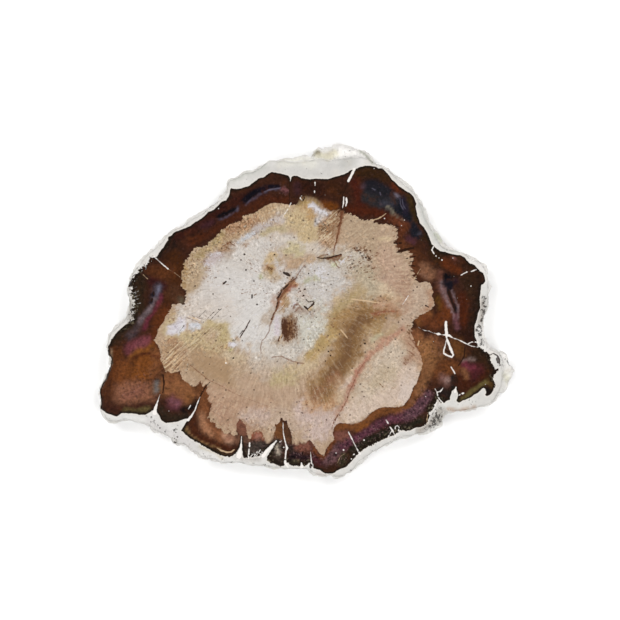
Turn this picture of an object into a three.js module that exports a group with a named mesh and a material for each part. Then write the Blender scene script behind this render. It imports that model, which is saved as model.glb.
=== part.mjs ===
import * as THREE from "three";
import { ImprovedNoise } from "three/addons/math/ImprovedNoise.js";

// A slice of petrified wood, in millimetres. It lies on its sawn base with the polished
// face up: X runs along its longest side, Y across it and Z from the base to the face.

// The slab
const THICKNESS = 20;
const RIM_SAMPLES = 320;

// The natural side, from the edge of the face (0) down to the base (1)
const SIDE_DEPTHS = [0, 0.07, 0.18, 0.31, 0.45, 0.6, 0.75, 0.9, 1];
const BELLY_DEPTH_OF_STEEP_SIDE = 0.36;
const BELLY_DEPTH_OF_WIDE_LOBE = 0.7;
const WIDE_LOBE_FLARE = 9;
const UNDERCUT_AT_BASE = 2.4;
const UNDERCUT_SWAY = 1.1;
const UNDERCUT_SWAY_LENGTH = 34;

// Relief of the chalky bark, always cut inwards from the outline
const CREST_LEVEL = 0.22;
const RIB_SPACING = 6.5;
const RIB_LENGTH = 26;
const RIB_DEPTH = 2.4;
const LUMP_SIZE = 11;
const LUMP_DEPTH = 2.2;
const PIT_SIZE = 5.5;
const PIT_DEPTH = 3.2;
const PIT_THRESHOLD = 0.2;
const RELIEF_FADE_DEPTH = 0.3;

// Steps where the crust of a lobe broke off in plates
const LEDGE_DEPTH = 0.42;
const LEDGE_SWAY = 0.22;
const LEDGE_SWAY_LENGTH = 17;
const LEDGE_STEP = 0.16;

// Layers of the noise that each kind of relief is read from
const RIB_LAYER = 0;
const UNDERCUT_LAYER = 0.5;
const LEDGE_LAYER = 4.5;
const LUMP_LAYER = 9.5;
const PIT_LAYER = 21.5;

// Half the length of rim over which its inward direction is averaged
const INSET_SMOOTHING = 9;

// Outline seen from above, counter-clockwise from the tip of the right lobe:
// x, y, and how far inside it the edge of the polished face lies
const RIM = [
  [125.0, -36.4, 7.8],
  [121.4, -32.2, 5.4],
  [117.2, -25.0, 2.4],
  [109.4, -21.4, 1.8],
  [106.4, -16.0, 1.8],
  [105.8, -8.8, 1.5],
  [107.0, -2.8, 1.2],
  [109.4, 4.4, 1.2],
  [109.4, 12.2, 1.2],
  [109.1, 20.6, 1.5],
  [107.6, 25.4, 1.8],
  [104.6, 29.6, 1.8],
  [98.0, 32.0, 1.8],
  [96.2, 35.0, 1.8],
  [91.4, 36.5, 1.8],
  [83.6, 38.9, 2.4],
  [80.6, 42.2, 3.0],
  [78.5, 47.0, 3.0],
  [74.0, 53.0, 2.4],
  [71.0, 60.2, 2.4],
  [68.9, 66.2, 2.4],
  [65.6, 71.6, 2.4],
  [60.8, 76.7, 3.0],
  [54.2, 81.2, 2.4],
  [49.4, 85.0, 1.5],
  [46.4, 85.4, 0.6],
  [43.4, 87.5, 0.5],
  [41.0, 88.1, 0.6],
  [39.2, 91.7, 2.4],
  [35.6, 95.3, 4.8],
  [31.4, 97.7, 7.2],
  [25.4, 100.1, 9.6],
  [17.6, 101.4, 10.8],
  [13.4, 99.8, 10.2],
  [9.8, 97.8, 9.0],
  [5.6, 97.4, 7.2],
  [2.0, 95.0, 5.4],
  [-4.6, 94.2, 5.4],
  [-10.6, 92.6, 4.2],
  [-14.8, 92.2, 3.0],
  [-18.4, 90.8, 1.8],
  [-23.8, 90.6, 1.2],
  [-26.2, 88.4, 1.2],
  [-31.0, 85.7, 1.8],
  [-34.6, 84.3, 2.1],
  [-38.2, 84.3, 2.4],
  [-41.8, 81.5, 1.8],
  [-45.4, 79.1, 1.2],
  [-48.1, 78.2, 1.2],
  [-49.0, 73.1, 1.2],
  [-52.0, 68.6, 1.5],
  [-56.8, 64.7, 1.5],
  [-60.4, 62.9, 1.8],
  [-62.8, 59.6, 1.5],
  [-67.6, 56.6, 1.2],
  [-71.8, 54.2, 1.2],
  [-74.2, 51.8, 1.2],
  [-80.8, 48.8, 1.2],
  [-84.4, 46.7, 1.2],
  [-88.0, 41.9, 1.5],
  [-91.6, 38.6, 1.5],
  [-97.6, 33.8, 1.5],
  [-101.8, 28.4, 1.5],
  [-106.0, 23.0, 1.5],
  [-108.4, 15.8, 1.2],
  [-109.3, 12.2, 1.2],
  [-108.1, 6.2, 1.2],
  [-108.1, -0.4, 1.2],
  [-109.9, -4.3, 1.2],
  [-115.6, -10.0, 1.2],
  [-119.2, -13.6, 1.2],
  [-120.1, -18.4, 0.6],
  [-121.0, -22.0, 0.5],
  [-119.8, -26.8, 0.5],
  [-118.6, -32.8, 0.5],
  [-120.4, -37.0, 0.5],
  [-122.5, -41.8, 0.5],
  [-124.9, -47.8, 0.5],
  [-124.6, -53.8, 0.5],
  [-124.9, -59.2, 0.5],
  [-123.7, -62.2, 1.2],
  [-119.8, -67.3, 1.2],
  [-114.4, -66.7, 0.6],
  [-109.6, -65.8, 0.6],
  [-101.8, -67.9, 0.6],
  [-96.4, -68.5, 0.6],
  [-92.2, -71.8, 0.6],
  [-86.2, -74.8, 0.6],
  [-82.6, -76.6, 0.6],
  [-80.2, -80.2, 0.6],
  [-74.2, -80.5, 0.6],
  [-71.2, -83.2, 0.6],
  [-66.4, -85.9, 0.6],
  [-63.4, -88.3, 0.6],
  [-56.8, -89.8, 0.6],
  [-50.8, -91.9, 0.6],
  [-42.4, -91.6, 0.6],
  [-32.8, -93.4, 0.6],
  [-22.6, -94.0, 0.6],
  [-13.0, -95.5, 0.6],
  [-2.8, -95.5, 0.6],
  [0.8, -96.4, 0.9],
  [4.4, -99.7, 1.8],
  [9.2, -100.6, 1.8],
  [13.4, -100.3, 1.8],
  [18.2, -101.5, 1.8],
  [23.6, -100.2, 2.4],
  [28.4, -97.6, 2.4],
  [30.8, -93.4, 2.1],
  [35.0, -88.9, 1.2],
  [41.6, -84.7, 1.2],
  [50.0, -79.9, 1.2],
  [56.6, -76.6, 1.2],
  [62.6, -76.6, 1.5],
  [65.6, -75.0, 1.5],
  [70.4, -74.5, 1.5],
  [75.8, -71.8, 2.7],
  [80.0, -69.1, 3.0],
  [81.8, -64.0, 3.0],
  [86.0, -61.6, 1.2],
  [95.0, -60.7, 1.2],
  [103.4, -58.9, 1.2],
  [107.6, -57.4, 0.8],
  [111.2, -55.3, 0.9],
  [116.6, -50.8, 3.0],
  [119.6, -48.1, 4.8],
  [122.6, -43.6, 6.6],
  [123.8, -40.0, 7.5],
];

const noise = new ImprovedNoise();

// Smooth noise from about -1 to 1, with features of about one size.
function noiseAt(x, y, z, size, layer) {
  return noise.noise(x / size, y / size, z + layer);
}

// Evenly spaced stations along the rim, each with its place, its inward direction and its flare.
function rimStations() {
  const handPoints = RIM.map(([x, y, flare]) => new THREE.Vector3(x, y, flare));
  const curve = new THREE.CatmullRomCurve3(handPoints, true, "centripetal");
  const points = curve.getSpacedPoints(RIM_SAMPLES).slice(0, RIM_SAMPLES);
  const reach = Math.round(INSET_SMOOTHING / (curve.getLength() / RIM_SAMPLES));
  return points.map((point, index) => {
    const before = points[(index - reach + RIM_SAMPLES) % RIM_SAMPLES];
    const after = points[(index + reach) % RIM_SAMPLES];
    const inward = new THREE.Vector2(before.y - after.y, after.x - before.x).normalize();
    return { x: point.x, y: point.y, inward, flare: Math.max(point.z, 0) };
  });
}

// How far outside the edge of the face the side stands at a depth below it, before its relief.
function sideReach({ x, y, flare }, depth) {
  const width = Math.min(flare / WIDE_LOBE_FLARE, 1);
  const belly = THREE.MathUtils.lerp(BELLY_DEPTH_OF_STEEP_SIDE, BELLY_DEPTH_OF_WIDE_LOBE, width);
  if (depth > belly) {
    const below = (depth - belly) / (1 - belly);
    const sway = noiseAt(x, y, 0, UNDERCUT_SWAY_LENGTH, UNDERCUT_LAYER);
    const undercut = UNDERCUT_AT_BASE + UNDERCUT_SWAY * sway;
    return flare - undercut * (1 - Math.cos((below * Math.PI) / 2));
  }
  const ledge = LEDGE_DEPTH + LEDGE_SWAY * noiseAt(x, y, 0, LEDGE_SWAY_LENGTH, LEDGE_LAYER);
  const slope = Math.sin(((depth / belly) * Math.PI) / 2);
  const plate = THREE.MathUtils.smoothstep(depth / belly, ledge - LEDGE_STEP, ledge + LEDGE_STEP);
  return flare * THREE.MathUtils.lerp(slope, plate * slope, 1 - slope);
}

// How deep the ribs, lumps and pits of the bark cut into the side. The crests between them are
// left at the outline.
function reliefDepth(x, y, z, depth) {
  const ribs = noiseAt(x, y, z / RIB_LENGTH, RIB_SPACING, RIB_LAYER) + CREST_LEVEL;
  const lumps = noiseAt(x, y, z / LUMP_SIZE, LUMP_SIZE, LUMP_LAYER) + CREST_LEVEL;
  const pits = noiseAt(x, y, z / PIT_SIZE, PIT_SIZE, PIT_LAYER) - PIT_THRESHOLD;
  const fade = THREE.MathUtils.smoothstep(depth, 0, RELIEF_FADE_DEPTH);
  const cuts = [RIB_DEPTH * ribs, LUMP_DEPTH * lumps, PIT_DEPTH * pits];
  return fade * cuts.reduce((sum, cut) => sum + Math.max(cut, 0), 0);
}

// One ring of the side, at a depth below the face.
function sideRing(stations, depth) {
  const z = THICKNESS * (1 - depth);
  return stations.map((station) => {
    const { x, y, inward, flare } = station;
    const inset = flare - sideReach(station, depth) + reliefDepth(x, y, z, depth);
    return new THREE.Vector3(x + inward.x * inset, y + inward.y * inset, z);
  });
}

// Two triangles for each quad between an upper ring and the one below it.
function bandTriangles(upperStart, lowerStart) {
  const triangles = [];
  for (let here = 0; here < RIM_SAMPLES; here += 1) {
    const next = (here + 1) % RIM_SAMPLES;
    triangles.push([upperStart + here, lowerStart + here, lowerStart + next]);
    triangles.push([upperStart + here, lowerStart + next, upperStart + next]);
  }
  return triangles;
}

// The slab: the flat polished face, the bands of the natural side and the flat base.
function sliceGeometry() {
  const stations = rimStations();
  const rings = SIDE_DEPTHS.map((depth) => sideRing(stations, depth));
  const lastStart = (rings.length - 1) * RIM_SAMPLES;
  const face = THREE.ShapeUtils.triangulateShape(rings[0], []);
  const base = THREE.ShapeUtils.triangulateShape(rings[rings.length - 1], []);
  const triangles = [...face];
  for (let ring = 0; ring < rings.length - 1; ring += 1) {
    triangles.push(...bandTriangles(ring * RIM_SAMPLES, (ring + 1) * RIM_SAMPLES));
  }
  triangles.push(...base.map(([a, b, c]) => [lastStart + a, lastStart + c, lastStart + b]));

  const geometry = new THREE.BufferGeometry().setFromPoints(rings.flat());
  geometry.setIndex(triangles.flat());
  geometry.computeBoundingBox();
  const middle = geometry.boundingBox.getCenter(new THREE.Vector3());
  geometry.translate(-middle.x, -middle.y, 0);
  geometry.computeVertexNormals();
  return geometry;
}

const stone = new THREE.MeshStandardMaterial({ color: 0xa98469, roughness: 0.3, metalness: 0 });

const slice = new THREE.Mesh(sliceGeometry(), stone);
slice.name = "petrified_wood_slice";

const group = new THREE.Group();
group.add(slice);

export default group;
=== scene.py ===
import math
from contextlib import contextmanager

import bpy
import numpy as np
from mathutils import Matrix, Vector, noise


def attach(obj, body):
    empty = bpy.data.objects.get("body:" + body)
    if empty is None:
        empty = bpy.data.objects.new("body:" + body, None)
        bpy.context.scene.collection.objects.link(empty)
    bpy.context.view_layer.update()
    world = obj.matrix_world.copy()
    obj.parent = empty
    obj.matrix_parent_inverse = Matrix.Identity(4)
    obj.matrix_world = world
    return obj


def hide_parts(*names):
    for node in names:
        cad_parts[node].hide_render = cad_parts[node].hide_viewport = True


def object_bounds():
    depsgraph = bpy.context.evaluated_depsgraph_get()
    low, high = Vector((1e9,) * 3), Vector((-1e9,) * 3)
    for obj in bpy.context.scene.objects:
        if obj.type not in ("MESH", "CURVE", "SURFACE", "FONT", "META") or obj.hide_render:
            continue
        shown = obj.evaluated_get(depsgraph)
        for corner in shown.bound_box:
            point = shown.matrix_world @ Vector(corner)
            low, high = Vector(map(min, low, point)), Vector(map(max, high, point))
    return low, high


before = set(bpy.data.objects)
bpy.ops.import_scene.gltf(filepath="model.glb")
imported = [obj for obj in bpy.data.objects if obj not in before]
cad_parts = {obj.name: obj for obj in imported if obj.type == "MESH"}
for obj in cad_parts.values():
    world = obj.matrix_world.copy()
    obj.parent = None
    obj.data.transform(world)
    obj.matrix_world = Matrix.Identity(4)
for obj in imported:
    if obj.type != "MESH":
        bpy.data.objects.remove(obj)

# A slice of petrified wood lying on its sawn base: a polished face, a rind cut with it, and a
# rough chalky side. Lengths are in metres unless a name says otherwise.

STONE_NODE = "petrified_wood_slice"
CAD_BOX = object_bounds()
FACE_LEVEL = CAD_BOX[1].z
MM = 0.001

# The photograph looks straight down on the slice. Markings are placed by its pixels.
PIXEL = 0.6 * MM
PHOTO_SIZE = 620
ORIGIN_PIXEL = (307.08, 310.38)

# Grain of the mesh, in photo pixels
FACE_CELL = 2.1
BASE_CELL = 3.2
RIM_GAP_IN_CELLS = 0.62
ARRIS_DROP = 0.28 * MM

# Depth of the fine bumps in the finishes
FACE_BUMP = 0.12 * MM
BASE_BUMP = 0.08 * MM
BARK_BUMP = 0.5 * MM

# The studio. The lamps stand far enough aside that the polish doesn't throw them at the camera.
# They light a white floor this much above white, which keeps its shadows clear.
LAMP_GAIN = 1.35
LAMP_SIZE = 1.1

# Place and power in watts of each lamp
LAMPS = {
    "lamp back left": ((-1.0, 0.85, 1.95), 26),
    "lamp back right": ((0.9, 0.95, 1.95), 23),
    "lamp front left": ((-0.9, -0.95, 1.95), 21),
    "lamp front right": ((1.0, -0.85, 1.95), 21),
}
SKY_LIGHT = 0.06
FLOOR_SIZE = 6
CAMERA_HEIGHT = 1.5

# Brush strokes wander by smooth noise of these sizes and amounts, in pixels, and their edges are
# frayed by fine noise, taken from three layers in turn. The seed keeps each run the same.
WANDERS = ((12, 3.2), (4, 2.2))
FRAY_SIZE = 4.5
FRAY_AMOUNT = 0.55
FRAY_ROUGHNESS = (0.7, 2.1, 3)
FRAY_LAYERS = (3.7, 19.3, 41.9)
GENTLE_FRAY = 0.5
WANDER_SEED = 23
noise.seed_set(WANDER_SEED)

# How near points and heights are the same: in the CAD solid, on the polished face, where the
# finished mesh is welded, and at a rim before and after it is levelled
SOLID_SLACK = 0.01 * MM
FACE_SLACK = 0.1 * MM
STONE_WELD = 0.002 * MM
ROUGH_RIM = 5 * MM
LEVEL_RIM = 1 * MM

# Upward part of a normal: of a flat face in the solid, of the polished face, of either cut, and of
# a side that the photograph sees in full
LEVEL_NORMAL = 0.999
FACE_NORMAL = 0.98
CUT_NORMAL = 0.6
SEEN_NORMAL = 0.35

# The faces within these distances of the outlines and of the crisp lines are split, in pixels
OUTLINE_REACH = 1.5
LINE_REACHES = (1.2, 0.65)
SMOOTH_ANGLE = math.radians(40)

# Relief of the side: kind, size, depth, where it lies and its settings. It is shallow within the
# margins at the face and at the base, where these shares of it are left.
SIDE_RELIEF = {
    "lumps": ("CLOUDS", 5 * MM, 2.1 * MM, "lower side", {"noise_depth": 2}),
    "crumbs": ("CLOUDS", 2 * MM, 1.8 * MM, "whole side", {"noise_depth": 3}),
    "pits": ("STUCCI", 2.2 * MM, 0.9 * MM, "lower side", {"turbulence": 4}),
}
RELIEF_MIDDLE = 0.3
FACE_MARGIN = 4 * MM
BASE_MARGIN = 3 * MM
LEAST_BY_FACE = {"whole side": 0.55, "lower side": 0.0}
LEAST_BY_BASE = 0.3


def to_metres(pixel):
    """Place on the slice, in metres, of a pixel of the photograph."""
    x = (pixel[0] - ORIGIN_PIXEL[0]) * PIXEL
    y = (ORIGIN_PIXEL[1] - pixel[1]) * PIXEL
    return x, y


def linear(hex_colour):
    """Linear colour to lay so that the lamps show it as #rrggbb."""
    parts = [int(hex_colour[i:i + 2], 16) / 255 for i in (1, 3, 5)]
    lit = [p / 12.92 if p <= 0.04045 else ((p + 0.055) / 1.055) ** 2.4 for p in parts]
    return tuple(p / LAMP_GAIN for p in lit)


# Outer edge of the brown band, where the rind begins, in pixels, clockwise from the upper left
RIND_LINE = [
    (152, 256), (157, 256), (159, 253), (161, 250), (163, 248), (166, 243), (168, 240), (168, 237),
    (172, 235), (174, 232), (180, 230), (185, 228), (190, 226), (195, 222), (199, 220), (205, 215.5),
    (208, 212), (214, 209.5), (218, 205.5), (221, 202), (226, 200), (229, 196), (230, 189.5), (231, 188),
    (234, 189), (240, 188.5), (245, 187), (249, 186), (252, 183), (256, 180.5), (259, 178), (263, 177.5),
    (266, 175.5), (269, 173), (272, 172), (277, 172.8), (283, 174.2), (288.5, 175.6), (290, 178),
    (290.7, 180.5), (291.3, 177.5), (293.5, 175.6), (298, 176.2), (302, 178.3), (310, 179.3),
    (316, 178.5), (328, 179), (336, 176.5), (345, 174), (350, 170.5), (355, 169), (360, 167),
    (366, 165.5), (372, 166), (376, 166.5), (378, 168.5), (382, 168), (384, 169.5), (388, 174),
    (392, 179.5), (395, 182), (400, 187), (407, 191.5), (410, 193), (414, 197), (415, 201), (416.5, 204),
    (415.5, 207), (417, 212), (417, 215.5), (419, 219), (420, 223), (424, 227), (427, 232), (430, 239),
    (432, 244), (435, 247), (440, 251), (446, 252), (452, 254), (456, 255), (460, 254.7), (465, 257.5),
    (467, 260.5), (470, 263.5), (475, 265), (477, 268), (480, 271), (483, 273), (485, 277), (485.5, 281),
    (483.5, 284), (481, 285), (481, 289), (480, 295), (480, 305), (480.5, 308), (478, 313), (477, 319),
    (475, 325), (474.5, 330), (475, 336), (476.5, 340), (477, 345), (478, 346), (481, 348), (483, 350.5),
    (487, 352), (490, 355), (491, 360), (493, 366), (495, 369), (499, 369), (495, 374), (493, 378),
    (494.5, 382), (495.5, 386), (493, 391), (490, 395), (487, 396.5), (485, 395), (486.5, 392),
    (485, 389), (483, 388), (480, 391), (478, 393), (474, 395), (470, 398), (466, 399.5), (462, 401),
    (459, 403), (456, 400.5), (457.5, 398), (458, 393), (455.5, 388), (452, 391), (451, 395), (450, 400),
    (446, 401), (444, 403), (441, 402.5), (438, 399), (433, 409), (430, 412), (429, 417), (427, 423),
    (422, 427), (416, 427.5), (410, 430.5), (404, 431), (400, 430), (396, 434), (391, 436.5),
    (385, 438.5), (376, 443), (370, 446), (364, 449.5), (360, 452.5), (357, 455), (352, 461), (346, 467),
    (338, 470), (334, 473), (327, 474), (323, 472.5), (320, 470), (314, 468.5), (312, 467), (309, 463),
    (305, 467), (302, 465), (300, 466), (292, 466), (289, 464), (285, 461.5), (284, 466), (281, 467),
    (278, 465), (272, 463.5), (267.5, 461.5), (266.5, 458), (269, 453.5), (273, 447), (277, 441),
    (272, 445), (268, 449), (264, 452), (263, 455), (258, 456.5), (252, 457), (249, 457.5), (247, 457.5),
    (244, 458.5), (242.5, 455), (242, 448), (241.5, 437), (240, 447), (237, 452), (233, 456), (229, 457),
    (224, 456.5), (220, 455), (212, 451), (204, 446.5), (197, 442), (188, 437), (181, 430.5),
    (183, 427.5), (187, 421), (190, 419), (187, 418.5), (183, 419.5), (178, 421.5), (172, 422.5),
    (166, 423), (162, 421), (160, 417), (157, 412.5), (156, 411), (152, 410.5), (149, 413), (145, 415),
    (140, 415), (136, 414), (132, 413.5), (127, 413.5), (122, 413), (119, 415.5), (116.5, 416.5),
    (112, 415), (106, 413), (102, 410), (100, 408), (101, 405), (101, 400), (100, 395), (99, 391),
    (101, 387), (103, 383), (106, 378), (107, 374), (109, 370), (109.2, 366), (111.2, 363), (111.2, 358),
    (108.4, 355), (108, 350), (108, 346), (110, 344), (111, 340), (114, 336), (118, 331), (124, 326),
    (129, 322.5), (132.2, 319.4), (130, 315), (131, 310), (133, 305), (133, 300), (132, 296), (132, 290),
    (129, 286), (129, 283), (132, 279), (134, 276), (138, 271.5), (142, 268), (144, 265), (148, 262),
    (150, 258.5),
]

# Inner edge of the brown band, where the pale heartwood begins, clockwise from the upper left
HEART_LINE = [
    (194, 248), (197, 247.5), (203, 246.5), (208, 244), (211, 241), (216, 237), (221, 230.5),
    (225, 228.5), (230, 224.5), (234, 223.5), (239, 221.5), (242.5, 220), (243, 217), (245, 215.8),
    (250, 214.8), (256, 212.2), (260, 209), (265, 206), (270, 204), (275, 203), (280, 203), (285, 204.5),
    (290, 205), (297, 204.5), (300, 202), (303, 200), (308, 198.5), (312, 199), (316, 201), (320, 204),
    (322, 207), (326, 209.5), (331, 211), (335, 211), (339, 210), (342, 211), (345, 213), (350, 214.5),
    (355, 215.5), (358, 218), (362, 219.5), (367, 220.5), (373, 219.5), (374, 223), (376, 222),
    (380, 224), (383, 225), (386, 223), (389, 227), (391, 225.5), (395, 227), (398, 231), (397, 236),
    (397.5, 239), (394, 243), (397, 247), (400, 249), (397, 251), (399, 253), (405, 251), (410, 252.5),
    (414, 255), (411, 257), (413, 258), (412, 263), (411, 268), (413, 272), (414, 277), (415, 280),
    (420, 282), (425, 282), (430, 283), (432, 287), (433, 291), (432, 296), (434, 301), (434, 306),
    (431, 309.5), (427, 312), (421, 315), (416, 318), (413, 320), (412, 324), (411, 330), (412.5, 335),
    (414, 341), (415.5, 346), (419.5, 352), (421.5, 357), (422.5, 364), (421, 370), (419, 376),
    (416, 384), (413, 388), (411, 395), (408, 400), (404, 405), (399, 407), (391, 407), (385, 407),
    (379, 408), (374, 410.5), (369, 414.5), (365, 418.5), (360, 422), (353, 424), (346, 423), (340, 423),
    (336, 424), (334, 428), (333, 433), (334, 440), (331, 443), (329, 445), (326, 450), (323.5, 455.5),
    (319, 452.5), (315, 447.5), (312.5, 442), (310, 440), (305, 443), (300, 442), (296, 444.5),
    (293, 443), (292.5, 437), (291, 431), (288, 425), (287, 421), (283, 420), (282, 417), (280.5, 419),
    (279, 423), (275, 425), (275, 430), (274, 437), (272, 440), (269, 443), (266, 443), (264.5, 440),
    (263, 435), (260, 431.5), (255, 432), (252, 435), (251, 439), (248, 438), (246, 434), (247, 430),
    (245, 425), (242, 421), (240, 417.5), (238.5, 421), (236, 424.5), (237, 430), (237, 435), (234, 436),
    (230, 433), (227, 434), (224, 431.5), (220, 429), (216, 427.5), (215, 424), (210, 421), (208, 417),
    (209, 413), (210, 408), (211, 404), (208, 402), (207, 399), (209, 395), (206, 392), (207, 388),
    (206, 384), (203, 386), (200, 381.5), (198, 384), (196, 387), (192, 386), (189, 383.5), (185, 381),
    (182, 378), (180.5, 374), (180, 371), (176, 372.5), (171, 373.5), (168, 371), (166, 373), (164, 368),
    (162, 363), (160.5, 360), (161, 356), (160, 351), (158, 346), (156, 342.5), (153, 340), (157, 336),
    (158, 330), (161, 325), (164, 321), (165, 317), (168, 313), (171, 309), (173, 305.5), (176, 304.5),
    (180, 304), (184.5, 304), (186, 300), (185.5, 296), (186, 291), (184, 288.5), (181, 287),
    (181.5, 284), (183, 280), (181, 277), (182, 272), (184, 267), (184, 263), (186, 260.5), (189, 257),
    (190, 253), (193, 250),
]

# Where the rays of the wood meet
PITH = (288, 285)

# Slant of the comb of stripes that crosses the heartwood
COMB_ANGLE = math.radians(42)

# Washes are a base colour or amount, and soft strokes laid one over the other on it. A stroke has
# its colour or amount, its radius and softness in pixels, and the points of its path. The number
# of a stroke in its list chooses the layer that frays it, so the order counts.

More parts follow.
